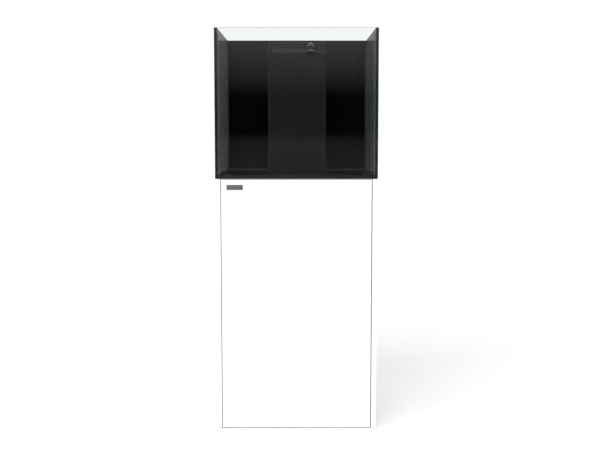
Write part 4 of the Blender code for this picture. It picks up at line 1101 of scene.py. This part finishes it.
    def nozzle(self) -> None:
        """Build the socket, its grip ring, the ball and the flared tip."""
        cup, outer, back = 11.8 * MM, 16.5 * MM, 19 * MM
        bore = 9.5 * MM
        turn = np.linspace(math.pi, math.pi / 2, 12)
        hollow = np.column_stack((cup * np.sin(turn), cup * np.cos(turn)))
        hollow = hollow[hollow[:, 0] > bore]
        rim = soften([(cup, 0), (outer, 0), (outer, 6 * MM - back), (outer - 2 * MM, 2 * MM - back),
                      (outer - 2 * MM, -back), (bore, -back)], 0.8 * MM, closed=False)
        socket = turned("nozzle_socket_cup", np.concatenate((hollow[:-1], rim)), self.ball, self.aim)
        settle(socket, ABS_GLOSS, "nozzle_socket", ["nozzle_socket"])
        ring = soften([(cup, 0.3 * MM), (outer, 0.3 * MM), (outer, 3.6 * MM), (outer - 2 * MM, 6 * MM),
                       (11.1 * MM, 6 * MM), (cup, 2 * MM)], 0.5 * MM)
        grip = turned("nozzle_grip_ring", ring, self.ball, self.aim, 120, 20, 0.7 * MM,
                      lambda r, h: (r > outer - 0.8 * MM) * 1.0)
        settle(grip, ABS_GLOSS, "nozzle_ring", ["nozzle_ring"])
        radius, neck, length = 11.3 * MM, 5 * MM, 18.3 * MM
        turn = np.linspace(math.pi, math.asin(neck / radius), 28)
        sphere = np.column_stack((radius * np.sin(turn), radius * np.cos(turn)))
        profile = np.concatenate((sphere, [(neck, length), (0.0, length)]))
        ball = turned("nozzle_ball_joint", profile, self.ball, self.aim, 56, closed=False)
        settle(ball, ABS_GLOSS, "nozzle_ball", ["nozzle_ball"])
        self.tip()

    def tip(self) -> None:
        """Build the tip: sections that go from a circle to a wide, flat mouth, outside and inside.

        A section is the curve |x/a|^n + |y/b|^n = 1, and a, b and n follow t * t * (3 - 2t).
        """
        angle = np.linspace(0, 2 * math.pi, 72, endpoint=False)

        def sections(starts: tuple, ends: tuple, t: Array) -> Array:
            """Return sections from (a, b, n, place) at t = 0 to those at t = 1.

            Args:
                starts: The section at t = 0.
                ends: The section at t = 1.
                t: Places from 0 to 1.

            Returns:
                Points, shape (places, points in a section, 3).
            """
            ease = (t * t * (3 - 2 * t))[:, None]
            a, b, power = (start + (end - start) * ease for start, end in zip(starts[:3], ends[:3]))
            place = starts[3] + (ends[3] - starts[3]) * t[:, None]
            x = a * np.sign(np.cos(angle)) * np.abs(np.cos(angle)) ** (2 / power)
            y = b * np.sign(np.sin(angle)) * np.abs(np.sin(angle)) ** (2 / power)
            return np.stack((x, y, np.broadcast_to(place, x.shape)), -1)

        t = np.linspace(0, 1, 14)
        wide, thin = self.mouth
        outside = sections((7.4 * MM, 7.4 * MM, 2.0, self.tip_from), (wide, thin, 4.0, self.tip_to), t)
        inside = sections((5.2 * MM, 5.2 * MM, 2.0, 19.5 * MM),
                          (wide - 1.8 * MM, thin - 1.8 * MM, 4.0, self.tip_to), t)[::-1]
        tip = loft("return_nozzle_tip", np.concatenate((outside, inside)) @ self.aim + self.ball)
        settle(tip, ABS_GLOSS, "return_nozzle", ["return_nozzle"])


# ---------------------------------------------------------------- cabinet
@dataclass
class Cabinet:
    """The lacquered boards, the feet, the latch, and the fixed halves of the hinges."""

    grip: int = 30
    running: float = 0.5 * MM       # gap over a foot, which turns
    steel: float = 1.4 * MM
    screw_radius: float = 3.6 * MM
    screw_height: float = 1.6 * MM

    def build(self) -> None:
        """Dress the boards, then build the hardware."""
        for node in ("left_side", "right_side", "top_board", "base_board", "rear_board", "door"):
            dress(node, LACQUER)
        for corner in ("front_left", "front_right", "rear_left", "rear_right"):
            self.foot(f"foot_{corner}")
        for number in (1, 2, 3):
            self.hinge(number)
        self.latch()

    def foot(self, node: str) -> None:
        """Turn a levelling foot: a disc with a knurled edge on a threaded stem.

        Args:
            node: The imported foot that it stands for.
        """
        low, high = span(node)
        disc = span("base_board")[0][2] - self.running
        radius, stem = (high[0] - low[0]) / 2, 4 * MM
        turns = np.linspace(disc + 0.5 * MM, high[2] - MM, 41)
        thread = np.column_stack((stem - 0.4 * MM * np.abs(np.sin(math.pi * turns / (1.5 * MM))), turns))
        pad = soften([(0, 0), (radius, 0), (radius, disc), (stem, disc)], 0.5 * MM, closed=False)
        profile = np.concatenate((pad, thread, [(stem - MM, high[2]), (0, high[2])]))
        foot = turned(f"{node}_pad", profile, (*middle(node)[:2], low[2]), Axis.UP, 120, self.grip, 0.8 * MM,
                      lambda r, h: (r > radius - 0.9 * MM) * 1.0, closed=False)
        settle(foot, ABS_BLACK, node, [node])

    def hinge(self, number: int) -> None:
        """Build one hinge: a pressed cup in the door, and a channel-shaped arm on its plate.

        Args:
            number: The number in its node's name.
        """
        cup, arm = f"hinge_cup_{number}", f"hinge_arm_{number}"
        low, high = span(cup)
        centre = middle(cup)
        flange, depth = (high[0] - low[0]) / 2, high[1] - low[1]
        radius, lip = flange - 5.5 * MM, 1.2 * MM
        outside = soften([(0, 0), (radius, 0), (radius, depth - lip), (flange, depth - lip), (flange, depth),
                          (radius - 2 * MM, depth), (radius - 2 * MM, 2 * MM), (0, 2 * MM)],
                         1.0 * MM, closed=False)
        pressed = turned(f"{cup}_pressing", outside, (centre[0], low[1], centre[2]), Axis.BACK, closed=False)
        settle(pressed, NICKEL, cup, [cup])
        for side in (-1, 1):
            place = (centre[0], high[1], centre[2] + side * (radius + flange) / 2)
            settle(screw(f"{cup}_screw_{(side + 3) // 2}", place, Axis.BACK, 2.4 * MM, MM), NICKEL, cup)
        low, high = span(arm)
        centre = middle(arm)
        self.channel(arm, low, high, centre)
        plate_rear = high[1] - MM
        plate = block(f"{arm}_plate", (low[0], plate_rear - 40 * MM, low[2]),
                      (low[0] + 2.5 * MM, plate_rear, high[2]), 8 * MM, 0.6 * MM, Axis.RIGHT)
        settle(plate, NICKEL, arm)
        for side in (-1, 1):
            place = (low[0] + 2.5 * MM, plate_rear - 20 * MM, centre[2] + side * 16 * MM)
            fixing = screw(f"{arm}_screw_{(side + 3) // 2}", place, Axis.RIGHT,
                           self.screw_radius, self.screw_height)
            settle(fixing, NICKEL, arm)
        adjuster = screw(f"{arm}_adjuster", (high[0], high[1] - 18 * MM, centre[2]), Axis.RIGHT,
                         3 * MM, 0.5 * MM)
        settle(adjuster, NICKEL, arm)

    def channel(self, arm: str, low: Array, high: Array, centre: Array) -> None:
        """Press the arm: a U-shaped section carried along Y, narrower towards the cup.

        Args:
            arm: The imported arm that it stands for.
            low: Lowest corner of its box.
            high: Highest corner of its box.
            centre: A point at its middle height.
        """
        wide, deep, wall = 6 * MM, high[0] - low[0] - 1.3 * MM, self.steel
        section = soften([(-wide, 0), (-wide, deep), (wide, deep), (wide, 0), (wide - wall, 0),
                          (wide - wall, deep - wall), (wall - wide, deep - wall), (wall - wide, 0)],
                         1.5 * MM)
        along = np.linspace(low[1], high[1], 12)
        ease = np.clip((along - low[1]) / (30 * MM), 0, 1)
        scale = 0.72 + 0.28 * ease * ease * (3 - 2 * ease)
        rings = np.stack((high[0] - deep + np.broadcast_to(section[:, 1], (12, len(section))),
                          np.repeat(along[:, None], len(section), axis=1),
                          centre[2] + scale[:, None] * section[:, 0]), -1)
        settle(loft(f"{arm}_channel", rings), NICKEL, arm, [arm])

    def latch(self) -> None:
        """Build the push latch's housing and its domed plunger."""
        low, high = span("latch_body")
        plunger_low, plunger_high = span("latch_plunger")
        radius = (plunger_high[0] - plunger_low[0]) / 2
        centre = middle("latch_plunger")
        half = (high - low) / 2
        bore = radius + 0.5 * MM
        angle = np.linspace(0, 2 * math.pi, 64, endpoint=False)
        square = 1 / np.maximum(np.abs(np.cos(angle)), np.abs(np.sin(angle)))
        depth = 26 * MM
        rows = [(square * (half[0] - 1.0 * MM), 0.0), (square * half[0], 1.0 * MM),
                (square * half[0], high[1] - low[1] - MM), (square * (half[0] - MM), high[1] - low[1])]
        mouth = [(np.full(64, bore), depth), (np.full(64, bore), MM), (np.full(64, bore + MM), 0.0)]
        rings = [np.column_stack((r * np.cos(angle), r * np.sin(angle), np.full(64, h)))
                 for r, h in mouth + rows]
        housing = loft("latch_housing", np.array(rings) @ Axis.BACK.basis()
                       + np.array([centre[0], low[1], (low[2] + high[2]) / 2]))
        settle(housing, ABS_WHITE, "latch_body", ["latch_body"])
        length = plunger_high[1] - plunger_low[1]
        turn = np.linspace(0, math.pi / 2, 7)
        dome = np.column_stack((radius * np.sin(turn), 2 * MM * (1 - np.cos(turn))))
        profile = np.concatenate((dome, [(radius, length), (0, length)]))
        plunger = turned("latch_plunger_rod", profile, (centre[0], plunger_low[1], centre[2]), Axis.BACK, 40,
                         closed=False)
        settle(plunger, ABS_WHITE, "latch_plunger", ["latch_plunger"])


@dataclass
class Badge:
    """The small blank plate on the door: a raised border round a plain panel."""

    border: float = 2.2 * MM
    recess: float = 0.5 * MM
    corner: float = 1.0 * MM

    def build(self) -> None:
        """Build the border as one ring, and the panel inside it."""
        low, high = span("door_badge")
        half_x, half_z, depth = (high[0] - low[0]) / 2, (high[2] - low[2]) / 2, high[1] - low[1]
        edge = 0.3 * MM
        rows = [(0, 0), (0, depth - edge), (edge, depth), (self.border - edge, depth),
                (self.border, depth - edge), (self.border, 0)]
        rings = [np.column_stack((ring_outline(half_x - inset, half_z - inset, self.corner), np.full(24, h)))
                 for inset, h in rows]
        centre = np.array([middle("door_badge")[0], high[1], middle("door_badge")[2]])
        frame_ring = loft("door_badge_border", np.array(rings) @ Axis.FRONT.basis() + centre, wrap_rows=True)
        settle(frame_ring, BRUSHED, "door_badge", ["door_badge"])
        inset = self.border + 0.05 * MM
        panel = block("door_badge_panel", (low[0] + inset, low[1] + self.recess, low[2] + inset),
                      (high[0] - inset, high[1], high[2] - inset), self.corner, 0.1 * MM, Axis.FRONT)
        settle(panel, BRUSHED_PALE, "door_badge")


# ---------------------------------------------------------------- sump
@dataclass
class Sump:
    """The glass sump with its baffle, shelf, filter cup, valve and pump."""

    cup_wall: float = 1.4 * MM
    cup_slots: int = 28
    grille_bars: int = 13

    def build(self) -> None:
        """Dress the glass, then build what stands in it."""
        for node in ("sump_tank", "sump_baffle"):
            dress(node, GLASS)
        cup_centre = middle("filter_cup")
        low, high = span("filter_shelf")
        shelf = plate_with_hole("filter_shelf_plate", low, high, cup_centre, 51 * MM, 3 * MM)
        settle(bevelled(shelf, 0.6 * MM), ACRYLIC, "filter_shelf", ["filter_shelf"])
        self.cup()
        self.valve()
        self.pump()

    def cup(self) -> None:
        """Build the filter cup: a slotted wall, a closed floor and a turned-out lip.

        At the distance v along its outline the wall goes out over the floor, up, and out again
        over the lip.
        """
        low, high = span("filter_cup")
        lip = (high[0] - low[0]) / 2
        radius = lip - 9 * MM
        height = high[2] - low[2]
        outline = soften([(0.0, 0.0), (radius, 0.0), (radius, height - 1.5 * MM), (lip, height - 1.5 * MM)],
                         4 * MM, 6, closed=False)
        centre = np.array([*middle("filter_cup")[:2], low[2]])
        steps = np.arange(len(outline))
        rise = int(np.argmax(outline[:, 1] > 4.5 * MM))
        slot_rows = rise - 1 + np.array([0.08, 0.36, 0.42, 0.70, 0.76])
        stops = np.concatenate((steps[:rise], slot_rows, steps[rise:]))

        def shell(inset: float) -> Callable[[Array, Array], Array]:
            """Return the surface that lies inset inside the outline.

            Args:
                inset: How far inside the outline.

            Returns:
                A function of the angle u and the outline place v that gives points.
            """
            slope = np.gradient(outline, axis=0)
            slope /= np.linalg.norm(slope, axis=1, keepdims=True)
            inner = outline + inset * np.column_stack((-slope[:, 1], slope[:, 0]))
            inner[0, 0] = 0.0

            def point(u: Array, v: Array) -> Array:
                """Return points at the angle u and the outline place v.

                Args:
                    u: Angle round the axis.
                    v: Place along the outline.

                Returns:
                    Points, with x, y and z last.
                """
                r = np.interp(v, steps, inner[:, 0])
                z = np.interp(v, steps, inner[:, 1])
                return np.stack((r * np.cos(u), r * np.sin(u), z), -1) + centre
            return point

        u = np.linspace(0, 2 * math.pi, 3 * self.cup_slots + 1)
        solid = np.ones((len(u) - 1, len(stops) - 1), bool)
        solid[::3, rise] = False
        solid[::3, rise + 2] = False
        cup = pierced("filter_cup_basket", u, stops, solid, shell(0.0), shell(self.cup_wall), wrap=True)
        settle(cup, ABS_WHITE, "filter_cup", ["filter_cup"])

    def valve(self) -> None:
        """Build the ball valve: a body between two grip unions, its bonnet, and a red lever."""
        low, high = span("drain_valve")
        pipe_radius = (span("drain_standpipe")[1] - middle("drain_standpipe"))[0]
        centre = middle("drain_standpipe")
        radius, height = (high[0] - low[0]) / 2, high[2] - low[2]
        bore, waist, union = pipe_radius + 0.3 * MM, radius - 2.5 * MM, 20 * MM
        outline = soften([(bore, 0), (radius, 0), (radius, union), (waist, union + 2 * MM),
                          (waist, height - union - 2 * MM), (radius, height - union), (radius, height),
                          (bore, height)], 1.2 * MM)
        body = turned("drain_valve_body", outline, (*centre[:2], low[2]), Axis.UP, 144, 18, 1.1 * MM,
                      lambda r, h: ((r > waist + MM) * 1.0))
        settle(body, PVC, "drain_valve", ["drain_valve"])
        level = JOINTS["valve_turn"]["pos_m"][2]
        reach = centre[1] - low[1]
        root = waist - 3 * MM
        bonnet = soften([(0, root), (11 * MM, root), (11 * MM, reach - 5 * MM),
                         (8.5 * MM, reach - 4 * MM), (8.5 * MM, reach), (0, reach)], 0.8 * MM, closed=False)
        stem = turned("drain_valve_bonnet", bonnet, (*centre[:2], level), Axis.FRONT, 48, closed=False)
        settle(stem, PVC, "drain_valve")
        low, high = span("valve_handle")
        thick, hub = high[1] - low[1], 12 * MM
        profile = soften([(0, 0), (hub, 0), (hub, thick - MM), (hub - 3 * MM, thick), (0, thick)],
                         MM, closed=False)
        knob = turned("valve_handle_hub", profile, (centre[0], high[1], level), Axis.FRONT, 64, closed=False)
        settle(knob, RED, "valve_handle", ["valve_handle"])
        length = high[2] - level
        t = np.linspace(0, 1, 16)
        width = 7 * MM * (0.86 + 0.14 * np.cos(2 * math.pi * t))
        width[-1] *= 0.8
        back = high[1] - 3 * MM
        rings = [np.column_stack((ring_outline(w, 2.9 * MM, 2.4 * MM), np.full(24, h)))
                 for w, h in zip(width, 6 * MM + t * (length - 6 * MM))]
        lever = loft("valve_handle_lever", np.array(rings) + np.array([centre[0], back - 3 * MM, level]))
        settle(lever, RED, "valve_handle")

    def pump(self) -> None:
        """Build the pump: a ribbed body on feet, an intake grille and a union on its outlet."""
        low, high = span("return_pump")
        riser = span("return_riser")
        top = riser[0][2] - 0.3 * MM
        x, y = middle("return_riser")[:2]
        lift, guard = 5 * MM, 6 * MM
        body = block("return_pump_body", (low[0] + 2 * MM, low[1] + guard, low[2] + lift),
                     (high[0] - 2 * MM, high[1], top), 12 * MM, 4 * MM)
        settle(body, ABS_BLACK, "return_pump", ["return_pump"])
        for number in range(5):
            place = low[1] + guard + (18 + 15 * number) * MM
            rib = block(f"return_pump_rib_{number + 1}", (low[0], place, low[2] + lift + 8 * MM),
                        (high[0], place + 2.4 * MM, top - 8 * MM), 1.1 * MM, 0.8 * MM, Axis.RIGHT)
            settle(rib, ABS_BLACK, "return_pump")
        for number, (sx, sy) in enumerate(((-1, -1), (1, -1), (-1, 1), (1, 1)), 1):
            centre = (middle("return_pump")[0] + sx * 28 * MM, (low[1] + high[1]) / 2 + sy * 34 * MM, low[2])
            profile = soften([(0, 0), (6 * MM, 0), (4.5 * MM, lift + MM), (0, lift + MM)], MM, closed=False)
            foot = turned(f"return_pump_foot_{number}", profile, centre, Axis.UP, 32, closed=False)
            settle(foot, FOAM, "return_pump")
        u = np.linspace(low[0] + 8 * MM, high[0] - 8 * MM, 2 * self.grille_bars + 2)
        v = np.array([low[2] + 12 * MM, low[2] + 17 * MM, top - 40 * MM, top - 36 * MM,
                      top - 17 * MM, top - 12 * MM])
        solid = np.ones((len(u) - 1, len(v) - 1), bool)
        solid[1::2, 1] = False
        solid[1::2, 3] = False

        def sheet(y_at: float) -> Callable[[Array, Array], Array]:
            """Return the grille's face, bowed towards the front by 3 mm in its middle.

            Args:
                y_at: Its place along Y at the sides.

            Returns:
                A function of the width a and the height b that gives points.
            """
            def point(a: Array, b: Array) -> Array:
                """Return points at the width a and the height b."""
                across = (a - u[0]) / (u[-1] - u[0])
                return np.stack((a, y_at - 3 * MM * np.sin(math.pi * across), b), -1)
            return point

        grille = pierced("return_pump_grille", u, v, solid, sheet(low[1] + 3.5 * MM),
                         sheet(low[1] + 6.5 * MM))
        settle(grille, ABS_BLACK, "return_pump")
        pipe_radius = (riser[1] - riser[0])[0] / 2
        nut = soften([(pipe_radius + 0.3 * MM, 0.2 * MM), (18 * MM, 0.2 * MM), (18 * MM, 20 * MM),
                      (pipe_radius + 0.3 * MM, 22 * MM)], 1.2 * MM)
        union = turned("return_pump_union", nut, (x, y, top), Axis.UP, 96, 12, 1.2 * MM,
                       lambda r, h: (r > 16.5 * MM) * 1.0)
        settle(union, ABS_BLACK, "return_pump")


# ---------------------------------------------------------------- fresh-water top-up
@dataclass
class TopUp:
    """The reservoir with its lid, the feed line, and the float that stops it."""

    wall: float = 3 * MM
    corner: float = 9 * MM
    groove: float = 1.6 * MM
    grooves: int = 4

    def build(self) -> None:
        """Build the reservoir, the lid, the line and the float."""
        self.reservoir()
        self.lid()
        self.feed()
        self.floater()

    def reservoir(self) -> None:
        """Blow the reservoir: rounded rings whose inset waves in and out between its rims.

        Over the height h the inset is groove * (1 - |cos(grooves * pi * h)|)^2, and the inside
        follows the outside a wall behind it.
        """
        low, high = span("topup_reservoir")
        half = (high - low) / 2
        height = high[2] - low[2]
        t = np.linspace(0.06, 0.94, 49)
        wave = self.groove * (1 - np.abs(np.cos(self.grooves * math.pi * (t - 0.06) / 0.88))) ** 2
        inset = np.concatenate(([3 * MM, 0.8 * MM, 0.0], wave, [0.0, 0.0]))
        level = np.concatenate(([0.0, 0.8 * MM, 3 * MM], t * height, [height - MM, height]))
        outer = [(i, z) for i, z in zip(inset, level)]
        inner = [(i + self.wall, max(z, self.wall)) for i, z in zip(inset[::-1], level[::-1])]
        rings = [np.column_stack((ring_outline(half[0] - i, half[1] - i, self.corner - min(i, 3 * MM), 8),
                                  np.full(32, z))) for i, z in outer + inner]
        foot = np.array([*middle("topup_reservoir")[:2], low[2]])
        tank = loft("topup_reservoir_tank", np.array(rings) + foot)
        settle(tank, POLYETHYLENE, "topup_reservoir", ["topup_reservoir"])

    def lid(self) -> None:
        """Mould the lid: a plate with a plug under it and a finger bar across its top."""
        low, high = span("reservoir_lid")
        half = (high - low) / 2
        plate, plug, room = 4 * MM, 12 * MM, self.wall + MM
        corner = self.corner
        rows = [(room + MM, 0.0), (room, MM), (room, plug), (0.6 * MM, plug), (0.0, plug + 0.6 * MM),
                (0.0, plug + plate - 1.6 * MM), (1.2 * MM, plug + plate - 0.6 * MM),
                (6 * MM, plug + plate - 0.6 * MM),
                (7 * MM, plug + plate - 1.4 * MM)]
        rings = [np.column_stack((ring_outline(half[0] - i, half[1] - i, max(corner - i, 2 * MM), 8),
                                  np.full(32, h))) for i, h in rows]
        lid = loft("reservoir_lid_plate", np.array(rings) + np.array([*middle("reservoir_lid")[:2], low[2]]))
        settle(lid, ABS_BLACK, "reservoir_lid", ["reservoir_lid"])
        centre = middle("reservoir_lid")
        bar = block("reservoir_lid_grip", (centre[0] - 20 * MM, centre[1] - 5 * MM, high[2] - 2 * MM),
                    (centre[0] + 20 * MM, centre[1] + 5 * MM, high[2]), 4 * MM, 0.9 * MM)
        settle(bar, ABS_BLACK, "reservoir_lid")

    def feed(self) -> None:
        """Build the feed line."""
        pipe("feed_line", 1.6 * MM, POLYETHYLENE, Axis.RIGHT, 0.5 * MM, 32)

    def floater(self) -> None:
        """Build the bracket with its pin, and the arm with its float."""
        low, high = span("float_bracket")
        axis = np.array(JOINTS["float_pivot"]["pos_m"], float)
        width = 16 * MM
        bracket = block("float_bracket_body", (high[0] - width, high[1] - width, low[2]), high,
                        2 * MM, 0.8 * MM)
        settle(bracket, ABS_WHITE, "float_bracket", ["float_bracket"])
        pin_length = axis[1] - low[1]
        tip = pin_length - MM
        profile = soften([(0, width / 2), (2 * MM, width / 2), (2 * MM, tip), (0, tip)], 0.4 * MM,
                         closed=False)
        pin = turned("float_bracket_pin", profile, (axis[0], axis[1], axis[2]), Axis.FRONT, 32, closed=False)
        settle(pin, NICKEL, "float_bracket")
        low, high = span("float_arm")
        radius = 18 * MM
        centre = np.array([low[0] + radius, (low[1] + high[1]) / 2])
        bar_y = centre[1]
        bar = block("float_arm_bar", (centre[0], bar_y - 2.8 * MM, axis[2] - 4 * MM),
                    (axis[0] - 5 * MM, bar_y + 2.8 * MM, axis[2] + 4 * MM), 2 * MM, 0.6 * MM, Axis.RIGHT)
        settle(bar, ABS_BLACK, "float_arm", ["float_arm"])
        half, hole, rim = 2.8 * MM, 2.5 * MM, 5.9 * MM
        eye = soften([(hole, -half), (rim, -half), (rim, half), (hole, half)], 0.5 * MM)
        hub = turned("float_arm_eye", eye, (axis[0], bar_y, axis[2]), Axis.FRONT, 48)
        settle(hub, ABS_BLACK, "float_arm")
        depth = 30 * MM
        turn = np.linspace(0, math.pi / 2, 9)
        edge = 5 * MM
        foot = np.column_stack((radius - edge + edge * np.sin(turn), edge * (1 - np.cos(turn))))
        head = np.column_stack((radius - edge + edge * np.cos(turn), depth - edge + edge * np.sin(turn)))
        profile = np.concatenate(([(0, 0)], foot, head, [(0, depth)]))
        body = turned("float_arm_float", profile, (*centre, low[2]), Axis.UP, 64, closed=False)
        settle(body, ABS_WHITE, "float_arm")


# ---------------------------------------------------------------- studio
@dataclass
class Studio:
    """A pale floor, soft light from the left, and the camera."""

    lens: float = 59.7
    pitch: float = 5.642
    eye: tuple[float, float, float] = (0.013, -3.950, 1.134)
    floor_half: float = 14.0
    sky: float = 0.86
    backdrop: float = 1.02
    sun: float = 1.10
    sun_width: float = 50           # degrees across: a large soft box
    sun_turn: tuple[float, float] = (42, -30)
    turn: tuple[float, float] = (-0.7, 0.1)     # where the room ahead gives way to the room behind
    front_room: tuple = ((-30, 0.30), (-8, 0.20), (-2.7, 0.11), (-0.8, 0.07), (-0.4, 0.005), (1.8, 0.005),
                         (3.8, 0.22), (4.9, 0.31), (8, 0.45), (30, 0.8), (80, 0.95))
    back_room: tuple = ((-30, 0.35), (-4, 0.25), (5, 0.22), (12, 0.45), (40, 0.85), (80, 0.95))

    def build(self) -> None:
        """Build the floor, the sky, the lamp and the camera."""
        scene = bpy.context.scene
        scene.view_settings.view_transform = "Standard"
        self.floor()
        self.world(scene)
        lamp = bpy.data.lights.new("soft_key", "SUN")
        lamp.energy = self.sun
        lamp.angle = math.radians(self.sun_width)
        key = bpy.data.objects.new("soft_key", lamp)
        key.rotation_euler = (*np.radians(self.sun_turn), 0.0)
        scene.collection.objects.link(key)
        data = bpy.data.cameras.new("camera")
        data.lens = self.lens
        data.sensor_width = 36.0
        data.clip_end = 100.0
        camera = bpy.data.objects.new("camera", data)
        camera.location = self.eye
        camera.rotation_euler = (math.radians(90 - self.pitch), 0.0, 0.0)
        scene.collection.objects.link(camera)
        scene.camera = camera

    def floor(self) -> None:
        """Lay a pale floor, a grid of squares at height 0."""
        line = np.linspace(-self.floor_half, self.floor_half, 9)
        x, y = np.meshgrid(line, line, indexing="ij")
        points = np.stack((x, y, np.zeros_like(x)), -1).reshape(-1, 3)
        floor = mesh_piece("studio_floor", points, [grid_faces(9, 9, False, False)])
        floor.data.materials.append(FLOOR.material())

    def world(self, scene: bpy.types.Scene) -> None:
        """Surround the object with white, and show mirrors a dimmer room with a dark horizon.

        Args:
            scene: The scene that it belongs to.
        """
        world = bpy.data.worlds.new("studio")
        world.use_nodes = True
        tree = world.node_tree
        scene.world = world
        gaze = add(tree, "ShaderNodeTexCoord").outputs["Generated"]
        direction = add(tree, "ShaderNodeSeparateXYZ", {0: gaze})
        front = self.room(tree, direction.outputs["Z"], self.front_room)
        back = self.room(tree, direction.outputs["Z"], self.back_room)
        side = add(tree, "ShaderNodeMapRange", {"Value": direction.outputs["Y"],
                                                "From Min": self.turn[0], "From Max": self.turn[1]})
        room = add(tree, "ShaderNodeMix", {0: side.outputs[0], 2: front, 3: back}, data_type="FLOAT")
        ray = add(tree, "ShaderNodeLightPath")
        lit = add(tree, "ShaderNodeMath", {0: ray.outputs["Diffuse Depth"], 1: 0.5}, operation="LESS_THAN")
        glossy = add(tree, "ShaderNodeMath", {0: ray.outputs["Glossy Depth"], 1: 0.5},
                     operation="GREATER_THAN")
        mirrored = add(tree, "ShaderNodeMath", {0: lit.outputs[0], 1: glossy.outputs[0]},
                       operation="MULTIPLY")
        white = add(tree, "ShaderNodeMix", {0: lit.outputs[0], 2: self.sky, 3: self.backdrop},
                    data_type="FLOAT")
        level = add(tree, "ShaderNodeMix", {0: mirrored.outputs[0], 2: white.outputs[0], 3: room.outputs[0]},
                    data_type="FLOAT")
        tree.links.new(level.outputs[0], tree.nodes["Background"].inputs["Color"])

    def room(self, tree: bpy.types.NodeTree, height: bpy.types.NodeSocket,
             stops: Sequence[tuple[float, float]]) -> bpy.types.NodeSocket:
        """Return the brightness of a wall of the room at each height above or below the horizon.

        Args:
            tree: The world's node tree.
            height: The sine of the angle above the horizon.
            stops: Angles in degrees, and the brightness there.

        Returns:
            The output that carries the brightness.
        """
        low, high = (math.sin(math.radians(stops[end][0])) for end in (0, -1))
        share = add(tree, "ShaderNodeMapRange", {"Value": height, "From Min": low, "From Max": high})
        ramp = add(tree, "ShaderNodeValToRGB", {0: share.outputs[0]})
        elements = ramp.color_ramp.elements
        while len(elements) < len(stops):
            elements.new(0.5)
        for element, (angle, bright) in zip(elements, stops):
            element.position = (math.sin(math.radians(angle)) - low) / (high - low)
            element.color = (bright, bright, bright, 1.0)
        return ramp.outputs[0]


def main() -> None:
    """Build every sub-assembly in order."""
    logging.basicConfig(level=logging.INFO, format="%(name)s: %(message)s")
    for part in (Studio(), Tank(), Weir(), Plumbing(), Cabinet(), Badge(), Sump(), TopUp()):
        part.build()
        log.info("built the %s", type(part).__name__)


if __name__ == "__main__":
    main()
